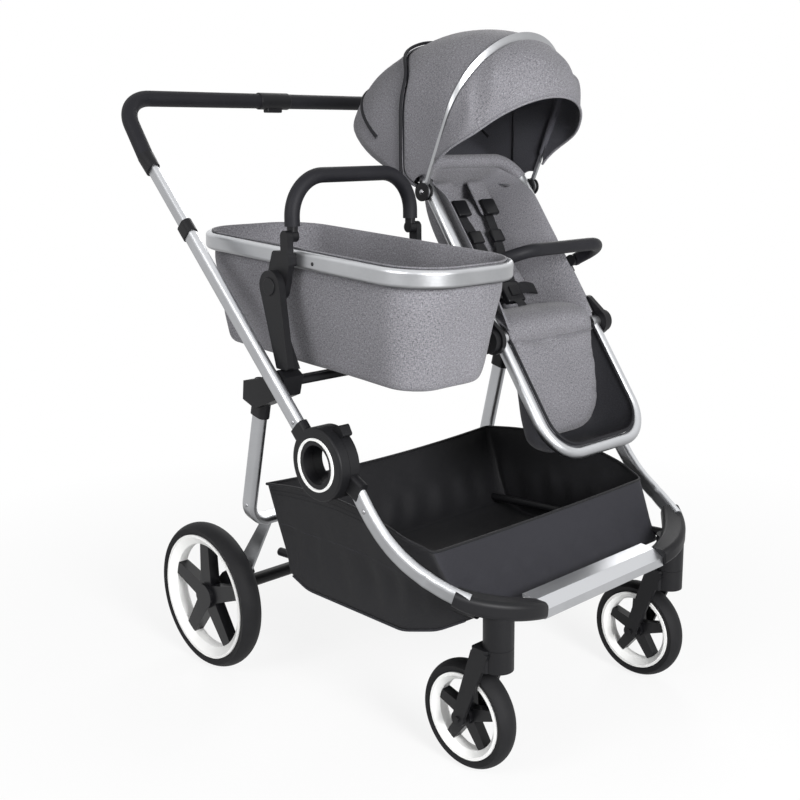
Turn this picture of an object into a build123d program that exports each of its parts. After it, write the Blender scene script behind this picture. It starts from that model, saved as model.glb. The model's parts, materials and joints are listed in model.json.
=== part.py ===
"""Side-by-side baby stroller: carrycot on the right half, seat with canopy on the left half.

Millimetres. X points forward, Y to the stroller's left, Z up. The origin lies on the
ground under the middle of the whole stroller.
"""
from build123d import *
from math import cos, radians, sin, tan
import os

os.makedirs("parts", exist_ok=True)

# Driving sizes of the frame
frame_half = 346.0  # middle plane of a hub, between its outer and its inner half
front_axle_x = 348.0
front_wheel_r = 92.5
front_wheel_y = 238.0
caster_trail = 62.0
rear_axle_x = -270.0
rear_wheel_r = 145.0
rear_wheel_y = 322.0
hub_x = 126.0
hub_z = 497.0
handle_lean = 44.5  # degrees back from the vertical
bar_x = -436.0
bar_z = 1096.0
seat_lean = 34.1  # degrees back from the vertical
seat_hub_x = 173.0
seat_hub_z = 660.0
seat_y = 164.0  # middle of the seat
seat_half = 136.0  # seat middle to the middle of a side tube
cot_x = 3.0
cot_y = -175.0
cot_z = 821.0
cot_pitch = 3.8  # degrees, front end lower
cot_length = 620.0
cot_width = 274.0
cot_depth = 190.0

# Clearances
running_gap = 0.05  # pin in its hole, on the radius
body_gap = 0.5  # between pieces that move past each other
slide_gap = 0.35

# Sections and walls
oval_wide = 30.0
oval_thick = 17.0
oval_wall = 1.6
seat_tube_r = 11.0
grip_r = 15.0
hub_r = 62.0
hub_eye_r = 33.0
hub_edge = 4.0  # rounding of a hub's outer edge
hub_plate = 20.0
ring_inset = 8.0  # black lip between the hub's eye and its white ring
ring_width = 4.0
ring_thick = 2.5
basket_wall = 3.0
cloth = 3.0
pivot_r = 8.0

caster_x = front_axle_x + caster_trail
lean = radians(handle_lean)
tube_dir = Vector(-sin(lean), 0, cos(lean))
tube_side = Vector(cos(lean), 0, sin(lean))
tilt = radians(seat_lean)
seat_up = Vector(-sin(tilt), 0, cos(tilt))
seat_front = Vector(cos(tilt), 0, sin(tilt))


def write(builder, label):
    """Name a finished piece and write its file."""
    builder.part.label = label
    export_step(builder.part, f"parts/{label}.step")


def at_tube(distance, y):
    """Point on a handle tube's axis, measured from the hub's centre."""
    return Vector(hub_x, y, hub_z) + tube_dir * distance


def side_plane(y):
    """Plane facing +Y whose sketch axes are the object's -X and Z."""
    return Plane(origin=(0, y, 0), x_dir=(-1, 0, 0), z_dir=(0, 1, 0))


def seat_plane(offset=0.0):
    """Plane of the seat tubes: sketch x is Y, sketch y runs up the seat, normal faces forward."""
    origin = Vector(seat_hub_x, seat_y, seat_hub_z) + seat_front * offset
    return Plane(origin=origin, x_dir=(0, 1, 0), z_dir=seat_front)


def seat_point(across, up, forward=0.0):
    """Point given across, up and in front of the seat hub axis."""
    return Vector(seat_hub_x, seat_y + across, seat_hub_z) + seat_up * up + seat_front * forward


def disc(x, y_from, y_to, z, radius, bore=0.0):
    """Round plate along Y, with an optional bore."""
    with BuildPart() as piece:
        with BuildSketch(side_plane(y_from)):
            with Locations((-x, z)):
                Circle(radius)
                if bore:
                    Circle(bore, mode=Mode.SUBTRACT)
        extrude(amount=y_to - y_from)
    return piece.part


# Wheels
spoke_taper = 87.0  # degrees between a spoke's foot and its side
cap_wall = 3.0  # closed outer end of a rear wheel's boss


def tyre(x, y, z, outer_r, seat_r, width):
    """Tyre with a round tread on a straight seat."""
    half = width / 2
    shoulder = outer_r - 0.42 * (outer_r - seat_r)
    with BuildPart() as piece:
        with BuildSketch(Plane(origin=(x, y, z), x_dir=(0, 1, 0), z_dir=(1, 0, 0))):
            with BuildLine():
                Polyline((-half, shoulder), (-half + 4, seat_r), (half - 4, seat_r), (half, shoulder))
                ThreePointArc((half, shoulder), (0, outer_r), (-half, shoulder))
            make_face()
        revolve(axis=Axis((x, y, z), (0, 1, 0)))
    return piece.part


def rim(x, y, z, seat_r, inner_r, width):
    """Deep rim: a band that carries the tyre, dished in towards the middle of its width."""
    half = width / 2 - 1
    with BuildPart() as piece:
        with BuildSketch(Plane(origin=(x, y, z), x_dir=(0, 1, 0), z_dir=(1, 0, 0))):
            with BuildLine():
                Polyline(
                    (-half, seat_r), (half, seat_r), (half, seat_r - 5), (half * 0.45, inner_r),
                    (-half * 0.45, inner_r), (-half, seat_r - 5), close=True,
                )
            make_face()
        revolve(axis=Axis((x, y, z), (0, 1, 0)))
    return piece.part


def spider(x, y, z, inner_r, boss_r, width, bore, cap=0):
    """Five-spoke centre whose spokes widen into the boss; `cap` is the side (-1 or 1) its bore is closed on."""
    spoke_half = width * 0.24
    boss_half = width * 0.42
    with BuildPart() as piece:
        with BuildSketch(side_plane(y - spoke_half)):
            with Locations((-x, z)):
                Circle(boss_r)
                with PolarLocations(0, 5, start_angle=18):
                    with Locations(((boss_r + inner_r) / 2 - 2, 0)):
                        Trapezoid(
                            boss_r * 1.15, inner_r - boss_r + 8, spoke_taper, rotation=-90
                        )
                Circle(inner_r - 0.2, mode=Mode.INTERSECT)
        extrude(amount=2 * spoke_half)
        with BuildSketch(side_plane(y - boss_half)):
            with Locations((-x, z)):
                Circle(boss_r * 0.82)
        extrude(amount=2 * boss_half)
        bore_from = y - boss_half + cap_wall if cap < 0 else y - width
        bore_to = y + boss_half - cap_wall if cap > 0 else y + width
        add(disc(x, bore_from, bore_to, z, bore), mode=Mode.SUBTRACT)
    return piece.part


rear_rim_r = 124.0
rear_rim_inner = 104.0
rear_width = 44.0
rear_axle_r = 6.0
front_rim_r = 74.0
front_rim_inner = 60.0
front_width = 38.0
front_axle_r = 5.0

for side, sign in (("right", -1), ("left", 1)):
    places = (
        ("rear", rear_axle_x, sign * rear_wheel_y, rear_wheel_r, rear_rim_r, rear_rim_inner, rear_width, rear_axle_r),
        ("front", front_axle_x, sign * front_wheel_y, front_wheel_r, front_rim_r, front_rim_inner, front_width,
         front_axle_r),
    )
    for end, x, y, outer, seat, inner, width, axle in places:
        with BuildPart() as wheel_tyre:
            add(tyre(x, y, outer, outer, seat, width))
        write(wheel_tyre, f"tyre_{end}_{side}")
        with BuildPart() as wheel_rim:
            add(rim(x, y, outer, seat, inner, width))
        write(wheel_rim, f"rim_{end}_{side}")
        with BuildPart() as wheel_spider:
            add(spider(x, y, outer, inner, outer * 0.21, width, axle + running_gap, sign if end == "rear" else 0))
        write(wheel_spider, f"spider_{end}_{side}")

# Casters: crown, swivel pin, two arms and the axle pin are one fork
stem_r = 9.0
housing_r = 25.0
housing_bottom = 231.0
housing_top = 296.0
crown_top = housing_bottom - body_gap
crown_bottom = 2 * front_wheel_r + 8
arm_gap = front_width / 2 + 4
arm_thick = 7.0

for side, sign in (("right", -1), ("left", 1)):
    y = sign * front_wheel_y
    with BuildPart() as fork:
        with BuildSketch(Plane.XY.offset(crown_bottom)):
            with Locations((caster_x, y)):
                Circle(housing_r)
            with Locations((caster_x - 16, y)):
                RectangleRounded(34, 2 * (arm_gap + arm_thick), 6)
        extrude(amount=crown_top - crown_bottom)
        with BuildSketch(Plane.XY.offset(crown_top)):
            with Locations((caster_x, y)):
                Circle(stem_r)
        extrude(amount=housing_top - 8 - crown_top)
        for arm_y in (y - arm_gap - arm_thick, y + arm_gap):
            with BuildSketch(side_plane(arm_y)):
                with BuildLine():
                    Polyline(
                        (-caster_x - 4, crown_top - 6), (-caster_x + 32, crown_top - 6),
                        (-front_axle_x + 12, front_wheel_r), (-front_axle_x - 12, front_wheel_r), close=True,
                    )
                make_face()
                with Locations((-front_axle_x, front_wheel_r)):
                    Circle(13)
            extrude(amount=arm_thick)
        with BuildSketch(side_plane(y - arm_gap - arm_thick - 3)):
            with Locations((-front_axle_x, front_wheel_r)):
                Circle(front_axle_r)
        extrude(amount=2 * (arm_gap + arm_thick + 3))
    write(fork, f"fork_{side}")

# Front legs: flat-oval tubes that sweep down and inwards from the hubs
leg_y = frame_half - hub_plate / 2 + 1
leg_points = (
    (190, leg_y, 466), (214, leg_y - 2, 432), (243, leg_y - 6, 397), (279, leg_y - 13, 366),
    (326, leg_y - 24, 340), (364, leg_y - 38, 323), (392, leg_y - 52, 313),
)
with BuildPart() as front_legs:
    with BuildLine() as leg_path:
        Spline(*[(x, -y, z) for x, y, z in leg_points])
    start = leg_path.line @ 0
    with BuildSketch(Plane(origin=start, x_dir=(0, 1, 0), z_dir=leg_path.line % 0)):
        SlotOverall(oval_wide, oval_thick - 1, rotation=90)
    sweep(is_frenet=False)
    mirror(about=Plane.XZ)
write(front_legs, "front_legs")

# Corner castings: from the leg's end round to the footboard, over the caster housing
tip_y = 165.0
corner_sections = (
    ((392 - 22, leg_y - 42, 320), (1, 0.62, -0.36), 36, 25),
    ((caster_x - 8, front_wheel_y + 22, 303), (1, 1.0, -0.25), 42, 30),
    ((caster_x + 18, front_wheel_y - 26, 291), (0.35, 1, -0.16), 42, 30),
    ((caster_x + 22, tip_y, 279), (0, 1, -0.1), 36, 28),
)
with BuildPart() as corners:
    for (x, y, z), (dx, dy, dz), wide, thick in corner_sections:
        with BuildSketch(Plane(origin=(x, -y, z), x_dir=(dy, -dx, 0), z_dir=(dx, dy, dz))):
            RectangleRounded(wide, thick, 9)
    loft()
    with BuildSketch(Plane.XY.offset(housing_bottom)):
        with Locations((caster_x, -front_wheel_y)):
            Circle(housing_r)
    extrude(amount=housing_top - housing_bottom)
    with BuildSketch(Plane.XY.offset(housing_bottom)):
        with Locations((caster_x, -front_wheel_y)):
            Circle(stem_r + running_gap)
    extrude(amount=housing_top - 7 - housing_bottom, mode=Mode.SUBTRACT)
    with BuildLine() as socket_path:
        Spline(*[(x, -y, z) for x, y, z in leg_points])
    with BuildSketch(Plane(origin=socket_path.line @ 0, x_dir=(0, 1, 0), z_dir=socket_path.line % 0)):
        SlotOverall(oval_wide, oval_thick - 1, rotation=90)
    sweep(is_frenet=False, mode=Mode.SUBTRACT)
    mirror(about=Plane.XZ)
write(corners, "corner_castings")

# Footboard: extruded step with a lower front ledge
step_top = 294.0
with BuildPart() as footboard:
    with BuildSketch(Plane(origin=(0, -tip_y, 0), x_dir=(1, 0, 0), z_dir=(0, -1, 0))):
        with BuildLine():
            Polyline(
                (caster_x - 14, step_top), (caster_x + 14, step_top - 2), (caster_x + 32, step_top - 16),
                (caster_x + 34, step_top - 30), (caster_x + 29, step_top - 30), (caster_x + 26, step_top - 19),
                (caster_x + 12, step_top - 7), (caster_x - 14, step_top - 5), close=True,
            )
        make_face()
    extrude(amount=-2 * tip_y)
    add(corners.part, mode=Mode.SUBTRACT)
write(footboard, "footboard")

# Hubs: an inner half with the leg's stub, an outer half with the handle's stub, open in the middle
outer_y = frame_half + hub_plate / 2 + body_gap / 2
inner_y = frame_half - hub_plate / 2 - body_gap / 2
tube_y = outer_y
stub_start = hub_r - 8
stub_end = hub_r + 15
sleeve = 3.5

leg_start = Vector(leg_points[0][0], -leg_points[0][1], leg_points[0][2])
stub_root = Vector(hub_x, -leg_y, hub_z)

with BuildPart() as hub_inners:
    with BuildSketch(side_plane(-inner_y - hub_plate / 2)):
        with Locations((-hub_x, hub_z)):
            Circle(hub_r)
    extrude(amount=hub_plate)
    with BuildSketch(Plane(origin=stub_root, x_dir=(0, 1, 0), z_dir=(leg_start - stub_root).normalized())):
        RectangleRounded(hub_plate - 3, oval_wide + 2 * sleeve, 7)
    extrude(amount=(leg_start - stub_root).length + 16)
    with BuildSketch(side_plane(-inner_y - hub_plate / 2)):
        with Locations((-hub_x - hub_r * 0.52, hub_z + hub_r * 0.9)):
            RectangleRounded(22, 20, 4, rotation=-30)
    extrude(amount=hub_plate)
    with BuildSketch(side_plane(-inner_y - hub_plate)):
        with Locations((-hub_x, hub_z)):
            Circle(hub_eye_r)
    extrude(amount=2 * hub_plate, mode=Mode.SUBTRACT)
    with BuildLine() as stub_path:
        Spline(*[(x, -y, z) for x, y, z in leg_points])
    with BuildSketch(Plane(origin=stub_path.line @ 0, x_dir=(0, 1, 0), z_dir=stub_path.line % 0)):
        SlotOverall(oval_wide, oval_thick - 1, rotation=90)
    sweep(is_frenet=False, mode=Mode.SUBTRACT)
    mirror(about=Plane.XZ)
write(hub_inners, "hub_inner_halves")

lower_from = hub_r + 6.0
collar_at = 514.0
collar_long = 26.0
upper_wide = oval_wide - 2 * oval_wall - 2 * slide_gap
upper_thick = oval_thick - 2 * oval_wall - 2 * slide_gap
upper_bottom = 250.0
grip_at = 690.0

for side, sign in (("right", -1), ("left", 1)):
    with BuildPart() as hub_outer:
        with BuildSketch(side_plane(sign * outer_y - hub_plate / 2)):
            with Locations((-hub_x, hub_z)):
                Circle(hub_r)
        extrude(amount=hub_plate)
        fillet(hub_outer.edges().filter_by(GeomType.CIRCLE).sort_by(Axis.Y)[0 if sign < 0 else -1], hub_edge)
        with BuildSketch(Plane(origin=at_tube(stub_start, sign * tube_y), x_dir=(0, 1, 0), z_dir=tube_dir)):
            RectangleRounded(hub_plate, oval_wide + 2 * sleeve, 8)
        extrude(amount=stub_end - stub_start)
        with BuildSketch(Plane(origin=at_tube(lower_from, sign * tube_y), x_dir=(0, 1, 0), z_dir=tube_dir)):
            SlotOverall(oval_wide, oval_thick, rotation=90)
        extrude(amount=stub_end, mode=Mode.SUBTRACT)
        with BuildSketch(side_plane(sign * outer_y - hub_plate)):
            with Locations((-hub_x, hub_z)):
                Circle(hub_eye_r)
        extrude(amount=2 * hub_plate, mode=Mode.SUBTRACT)
    write(hub_outer, f"hub_outer_half_{side}")

with BuildPart() as hub_rings:
    add(disc(hub_x, -outer_y - hub_plate / 2 - ring_thick, -outer_y - hub_plate / 2, hub_z,
             hub_eye_r + ring_inset + ring_width, hub_eye_r + ring_inset))
    mirror(about=Plane.XZ)
write(hub_rings, "hub_ring_trims")

with BuildPart() as handle_tubes:
    with BuildSketch(Plane(origin=at_tube(lower_from, -tube_y), x_dir=(0, 1, 0), z_dir=tube_dir)):
        SlotOverall(oval_wide, oval_thick, rotation=90)
        SlotOverall(oval_wide - 2 * oval_wall, oval_thick - 2 * oval_wall, rotation=90, mode=Mode.SUBTRACT)
    extrude(amount=collar_at - lower_from)
    mirror(about=Plane.XZ)
write(handle_tubes, "handle_lower_tubes")

with BuildPart() as collars:
    with BuildSketch(Plane(origin=at_tube(collar_at - collar_long + 8, -tube_y), x_dir=(0, 1, 0), z_dir=tube_dir)):
        SlotOverall(oval_wide + 5, oval_thick + 5, rotation=90)
        SlotOverall(oval_wide, oval_thick, rotation=90, mode=Mode.SUBTRACT)
    extrude(amount=collar_long - 8)
    with BuildSketch(Plane(origin=at_tube(collar_at, -tube_y), x_dir=(0, 1, 0), z_dir=tube_dir)):
        SlotOverall(oval_wide + 5, oval_thick + 5, rotation=90)
        SlotOverall(upper_wide + 2 * slide_gap, upper_thick + 2 * slide_gap, rotation=90, mode=Mode.SUBTRACT)
    extrude(amount=8)
    mirror(about=Plane.XZ)
write(collars, "telescope_collars")

# Sliding part of the handle
with BuildPart() as upper_tubes:
    with BuildSketch(Plane(origin=at_tube(upper_bottom, -tube_y), x_dir=(0, 1, 0), z_dir=tube_dir)):
        SlotOverall(upper_wide, upper_thick, rotation=90)
        SlotOverall(upper_wide - 3, upper_thick - 3, rotation=90, mode=Mode.SUBTRACT)
    extrude(amount=grip_at - upper_bottom)
    mirror(about=Plane.XZ)
write(upper_tubes, "handle_upper_tubes")

grip_start = at_tube(grip_at, -tube_y)
grip_bend = 62.0
bend_lead = 4.0  # straight length that each bend ends with
housing_half = 38.0
with BuildPart() as grip:
    with BuildLine() as grip_path:
        FilletPolyline(
            grip_start, (bar_x, -tube_y, bar_z), (bar_x, -tube_y + grip_bend + bend_lead, bar_z), radius=grip_bend
        )
    with BuildSketch(Plane(origin=grip_start, z_dir=grip_path.line % 0)):
        Circle(grip_r)
    sweep()
    with BuildSketch(Plane(origin=grip_path.line @ 1, z_dir=(0, 1, 0))):
        Circle(grip_r)
    extrude(amount=tube_y - grip_bend - bend_lead - housing_half)
    mirror(about=Plane.XZ)
    add(upper_tubes.part, mode=Mode.SUBTRACT)
write(grip, "handle_grip")

sleeve_long = 34.0
with BuildPart() as grip_sleeves:
    with BuildSketch(Plane(origin=at_tube(grip_at - sleeve_long, -tube_y), x_dir=(0, 1, 0), z_dir=tube_dir)):
        SlotOverall(upper_wide + 7, upper_thick + 9, rotation=90)
    with BuildSketch(Plane(origin=at_tube(grip_at - 1, -tube_y), x_dir=(0, 1, 0), z_dir=tube_dir)):
        SlotOverall(2 * grip_r + 1.5, 2 * grip_r, rotation=90)
    loft()
    with BuildSketch(Plane(origin=at_tube(grip_at - 2 * sleeve_long, -tube_y), x_dir=(0, 1, 0), z_dir=tube_dir)):
        SlotOverall(upper_wide, upper_thick, rotation=90)
    extrude(amount=3 * sleeve_long, mode=Mode.SUBTRACT)
    mirror(about=Plane.XZ)
    add(grip.part, mode=Mode.SUBTRACT)
write(grip_sleeves, "grip_sleeves")

# Release housing in the middle of the grip, with its squeeze button below
button_half = 20.0
button_wide = 16.0
button_travel = 5.0
with BuildPart() as grip_housing:
    with BuildSketch(Plane(origin=(bar_x, -housing_half, bar_z), x_dir=(1, 0, 0), z_dir=(0, 1, 0))):
        Circle(grip_r + 2)
    extrude(amount=2 * housing_half)
    fillet(grip_housing.edges().filter_by(GeomType.CIRCLE), 2)
    with BuildSketch(Plane.XY.offset(bar_z - grip_r - 3)):
        with Locations((bar_x, 0)):
            Rectangle(button_wide + 2 * body_gap, 2 * (button_half + body_gap))
    extrude(amount=grip_r, mode=Mode.SUBTRACT)
write(grip_housing, "grip_housing")

with BuildPart() as fold_button:
    with BuildSketch(Plane.XY.offset(bar_z - grip_r - 8)):
        with Locations((bar_x, 0)):
            RectangleRounded(button_wide, 2 * button_half, 4)
    extrude(amount=grip_r - 2)
    fillet(fold_button.faces().sort_by(Axis.Z)[0].edges(), 2.5)
write(fold_button, "fold_button")

# Rear frame: one flat-oval U with a bend at the foot of each leg
leg_top_x = -73.0
leg_top_z = 588.0
rear_leg_y = 320.0
foot_x = -138.0
foot_z = 324.0
rear_oval_wide = 34.0
rear_oval_thick = 16.0
rear_bend = 42.0
rear_top = Vector(leg_top_x, -rear_leg_y, leg_top_z)
with BuildPart() as rear_frame:
    with BuildLine() as rear_path:
        FilletPolyline(
            rear_top, (foot_x, -rear_leg_y, foot_z), (foot_x, rear_leg_y, foot_z),
            (leg_top_x, rear_leg_y, leg_top_z), radius=rear_bend,
        )
    with BuildSketch(Plane(origin=rear_top, x_dir=(0, 1, 0), z_dir=rear_path.line % 0)):
        SlotOverall(rear_oval_wide, rear_oval_thick, rotation=90)
    sweep()
write(rear_frame, "rear_frame")

# Brackets that hold the rear legs' tops and cradle the handle tubes from below
rear_dir = (rear_path.line % 0).normalized()
bracket_out = tube_y - oval_thick / 2 - body_gap
bracket_in = rear_leg_y - rear_oval_thick / 2 - 5
seat_at = 170.0  # where the handle tube lies in its cradle, from the hub's centre
cross_x = 4.0
cross_z = 612.0
with BuildPart() as rear_brackets:
    with BuildSketch(side_plane(-bracket_out)):
        with BuildLine():
            Polyline(
                (-cross_x - 22, cross_z + 12), (-cross_x - 4, cross_z + 24), (-leg_top_x - 20, leg_top_z + 24),
                (-leg_top_x + 20, leg_top_z + 16), (-leg_top_x + 24, leg_top_z - 18), (-leg_top_x - 10, leg_top_z - 30),
                (-cross_x - 12, cross_z - 22), close=True,
            )
        make_face()
    extrude(amount=bracket_out - bracket_in)
    with BuildSketch(Plane(origin=rear_top - rear_dir * 14, x_dir=(0, 1, 0), z_dir=rear_dir)):
        SlotOverall(rear_oval_wide + 7, rear_oval_thick + 7, rotation=90)
    extrude(amount=66)
    with BuildSketch(Plane(origin=rear_top, x_dir=(0, 1, 0), z_dir=rear_dir)):
        SlotOverall(rear_oval_wide, rear_oval_thick, rotation=90)
    extrude(amount=120, mode=Mode.SUBTRACT)
    with BuildSketch(Plane(origin=at_tube(seat_at - 40, -tube_y), x_dir=(0, 1, 0), z_dir=tube_dir)):
        SlotOverall(oval_wide + 2 * body_gap, oval_thick + 2 * body_gap, rotation=90)
    extrude(amount=120, mode=Mode.SUBTRACT)
    mirror(about=Plane.XZ)
write(rear_brackets, "rear_brackets")

cross_wide = 26.0
cross_thick = 14.0
with BuildPart() as cross_bar:
    with BuildSketch(side_plane(-bracket_in)):
        with Locations((-cross_x, cross_z)):
            RectangleRounded(cross_wide, cross_thick, 5)
    extrude(amount=2 * bracket_in)
write(cross_bar, "rear_cross_bar")

# Rear axle with end housings, and the plates that hang it from the rear frame
axle_tube_r = 13.0
axle_end = rear_wheel_y - rear_width / 2 - 3
plate_thick = 5.0
plate_y = axle_end - 26
pin_reach = rear_width * 0.42 - cap_wall - body_gap  # past the middle of a wheel
with BuildPart() as rear_axle:
    add(disc(rear_axle_x, -axle_end + 30, axle_end - 30, rear_wheel_r, axle_tube_r))
    add(disc(rear_axle_x, -rear_wheel_y - pin_reach, rear_wheel_y + pin_reach, rear_wheel_r, rear_axle_r))
    for y_from in (-axle_end, axle_end - 30):
        with BuildSketch(side_plane(y_from)):
            with BuildLine():
                Polyline(
                    (-rear_axle_x + 20, rear_wheel_r - 18), (-rear_axle_x + 24, rear_wheel_r + 10),
                    (-rear_axle_x - 6, rear_wheel_r + 40), (-rear_axle_x - 62, rear_wheel_r + 74),
                    (-rear_axle_x - 74, rear_wheel_r + 52), (-rear_axle_x - 30, rear_wheel_r - 12), close=True,
                )
            make_face()
        extrude(amount=30)
write(rear_axle, "rear_axle")

with BuildPart() as axle_plates:
    with BuildSketch(side_plane(-plate_y - plate_thick)):
        with BuildLine():
            Polyline(
                (-foot_x - 12, foot_z - 4), (-foot_x + 14, foot_z - 4), (-rear_axle_x - 34, rear_wheel_r + 66),
                (-rear_axle_x - 66, rear_wheel_r + 44), close=True,
            )
        make_face()
    extrude(amount=plate_thick)
    add(rear_frame.part, mode=Mode.SUBTRACT)
    add(rear_axle.part, mode=Mode.SUBTRACT)
    mirror(about=Plane.XZ)
write(axle_plates, "axle_plates")

# Brake pedal on the middle of the rear axle
pedal_half = 34.0
with BuildPart() as brake_pedal:
    with BuildSketch(side_plane(-pedal_half)):
        with Locations((-rear_axle_x, rear_wheel_r)):
            Circle(axle_tube_r + 7)
        with BuildLine():
            Polyline(
                (-rear_axle_x + 4, rear_wheel_r + 18), (-rear_axle_x + 66, rear_wheel_r + 8),
                (-rear_axle_x + 70, rear_wheel_r), (-rear_axle_x + 6, rear_wheel_r + 2), close=True,
            )
        make_face()
        with Locations((-rear_axle_x, rear_wheel_r)):
            Circle(axle_tube_r + running_gap, mode=Mode.SUBTRACT)
    extrude(amount=2 * pedal_half)
write(brake_pedal, "brake_pedal")

# Side rails through the basket, from the axle plates to the corners
rail_r = 8.0
rail_y = plate_y - rail_r
rail_start = Vector(-116, -rail_y, 258)
rail_end = Vector(caster_x - 22, -rail_y, 286)


def rail(radius):
    """Both side rails as round bars of the given radius."""
    with BuildPart() as piece:
        with BuildSketch(Plane(origin=rail_start, z_dir=(rail_end - rail_start).normalized())):
            Circle(radius)
        extrude(amount=(rail_end - rail_start).length)
        mirror(about=Plane.XZ)
    return piece.part


with BuildPart() as side_rails:
    add(rail(rail_r))
    add(corners.part, mode=Mode.SUBTRACT)
write(side_rails, "side_rails")

# Basket: open cloth tub whose front panel leans out over the footboard
basket_top_rear = (-105.0, 402.0)
basket_top_mid = (100.0, 418.0)
basket_top_front = (312.0, 372.0)
basket_low = ((374.0, 272.0), (317.0, 240.0), (254.0, 226.0), (9.0, 226.0), (-45.0, 246.0))
basket_half = 300.0
basket_nose = 250.0
basket_mouth = 80.0  # clear height cut open above the hem's ends


def basket_solid(inset, lift):
    """Side outline of the basket crossed with its plan, drawn in by a wall and raised at the top."""
    with BuildPart() as piece:
        with BuildSketch(side_plane(-basket_half)):
            with BuildLine():
                Polyline(
                    (-basket_top_rear[0], basket_top_rear[1]), (-basket_top_mid[0], basket_top_mid[1]),
                    (-basket_top_front[0], basket_top_front[1]),
                    *[(-x, z) for x, z in basket_low], close=True,
                )
            make_face()
            if inset:
                offset(amount=-inset, kind=Kind.INTERSECTION)
            if lift:
                with BuildLine():
                    Polyline(
                        (-basket_top_rear[0] - 2 * inset, basket_top_rear[1] - 2 * inset),
                        (-basket_top_front[0] + 2 * inset, basket_top_front[1] - 2 * inset),
                        (-basket_top_front[0] + 2 * inset, basket_top_front[1] + lift),
                        (-basket_top_rear[0] - 2 * inset, basket_top_rear[1] + lift), close=True,
                    )
                make_face()
        extrude(amount=2 * basket_half)
        with BuildSketch(Plane.XY.offset(basket_low[2][1] - 20)):
            with BuildLine():
                Polyline(
                    (-130, -basket_half + inset), (258, -basket_half + inset), (324, -basket_half + 20 + inset),
                    (390, -basket_nose + inset), (390, basket_nose - inset), (324, basket_half - 20 - inset),
                    (258, basket_half - inset), (-130, basket_half - inset), close=True,
                )
            make_face()
        extrude(amount=320, mode=Mode.INTERSECT)
    return piece.part


with BuildPart() as basket:
    add(basket_solid(0, 0))
    add(basket_solid(basket_wall, basket_mouth), mode=Mode.SUBTRACT)
    add(rail(rail_r + 1.5), mode=Mode.SUBTRACT)
write(basket, "basket")

# Carrycot risers: a fixed arm with a round head, a pin and a press button
riser_x = -13.0
riser_z = 775.0
riser_head_r = 27.0
riser_thick = 13.0
riser_out = bracket_out - 4
riser_in = 7.0  # inner riser's far face, right of the middle
press_r = 15.0
press_travel = 3.0


def riser(y_from, base_z, button_side):
    """Riser between its base and its head; the button's recess is on the side given."""
    with BuildPart() as piece:
        with BuildSketch(side_plane(y_from)):
            with Locations((-riser_x, riser_z)):
                Circle(riser_head_r)
            with Locations((-14, base_z + 8)):
                RectangleRounded(32, 16, 4)
            make_hull()
        extrude(amount=riser_thick)
        with BuildSketch(side_plane(y_from if button_side < 0 else y_from + riser_thick)):
            with Locations((-riser_x, riser_z)):
                Circle(press_r + body_gap)
        extrude(amount=-button_side * 6, mode=Mode.SUBTRACT)
    return piece.part


mount_thick = 12.0
with BuildPart() as risers:
    add(riser(-riser_out, 637, -1))
    add(disc(riser_x, -riser_out + riser_thick, -riser_out + riser_thick + mount_thick, riser_z, pivot_r))
    with BuildSketch(side_plane(-riser_out + riser_thick)):
        with BuildLine():
            Polyline((2, 700), (-30, 637), (0, 637), (24, 700), close=True)
        make_face()
    extrude(amount=14)
    add(riser(-riser_in - riser_thick, cross_z + cross_thick / 2, 1))
    add(disc(riser_x, -riser_in - riser_thick - mount_thick, -riser_in - riser_thick, riser_z, pivot_r))
write(risers, "carrycot_risers")

with BuildPart() as riser_button:
    add(disc(riser_x, -riser_out - 2, -riser_out + 2, riser_z, press_r))
    fillet(riser_button.faces().sort_by(Axis.Y)[0].edges(), 1.2)
write(riser_button, "riser_button")

# Seat arms: forward from the cross bar to the seat hubs
arm_plate = 12.0
arm_in = -5.0
arm_out = 323.0
arm_boss_r = 22.0
seat_pivot_long = 7.0
with BuildPart() as seat_arms:
    for y_from, pin_from in ((arm_in, arm_in + arm_plate), (arm_out, arm_out - seat_pivot_long)):
        with BuildSketch(side_plane(y_from)):
            with Locations((-seat_hub_x, seat_hub_z)):
                Circle(arm_boss_r)
            with Locations((-cross_x - 8, cross_z)):
                Circle(16)
            make_hull()
        extrude(amount=arm_plate)
        add(disc(seat_hub_x, pin_from, pin_from + seat_pivot_long, seat_hub_z, pivot_r))
    add(cross_bar.part, mode=Mode.SUBTRACT)
    add(rear_brackets.part, mode=Mode.SUBTRACT)
write(seat_arms, "seat_arms")

# Carrycot
pitch = radians(cot_pitch)
cot_normal = Vector(sin(pitch), 0, cos(pitch))
rim_tall = 30.0
rim_thick = 14.0
rim_round = 6.5
cot_corner = 95.0
cot_wall = 4.0


def cot_plane(height):
    """Plane parallel to the carrycot's rim, `height` above the rim's middle."""
    origin = Vector(cot_x, cot_y, cot_z) + cot_normal * height
    return Plane(origin=origin, x_dir=(cos(pitch), 0, -sin(pitch)), z_dir=cot_normal)


def cot_outline(inset, radius):
    """Rounded plan of the carrycot, drawn in by `inset`."""
    RectangleRounded(cot_length - 2 * inset, cot_width - 2 * inset, radius)


with BuildPart() as cot_rim:
    with BuildSketch(cot_plane(-rim_tall / 2)):
        cot_outline(0, cot_corner)
        RectangleRounded(
            cot_length - 2 * rim_thick, cot_width - 2 * rim_thick, cot_corner - rim_thick, mode=Mode.SUBTRACT
        )
    extrude(amount=rim_tall)
    fillet(cot_rim.edges().filter_by(cot_plane(0)), rim_round)
write(cot_rim, "carrycot_rim")

tub_top = 12.0
tub_inset = rim_thick + body_gap
floor_inset_x = 46.0
floor_inset_y = 38.0
floor_corner = 62.0


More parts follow.
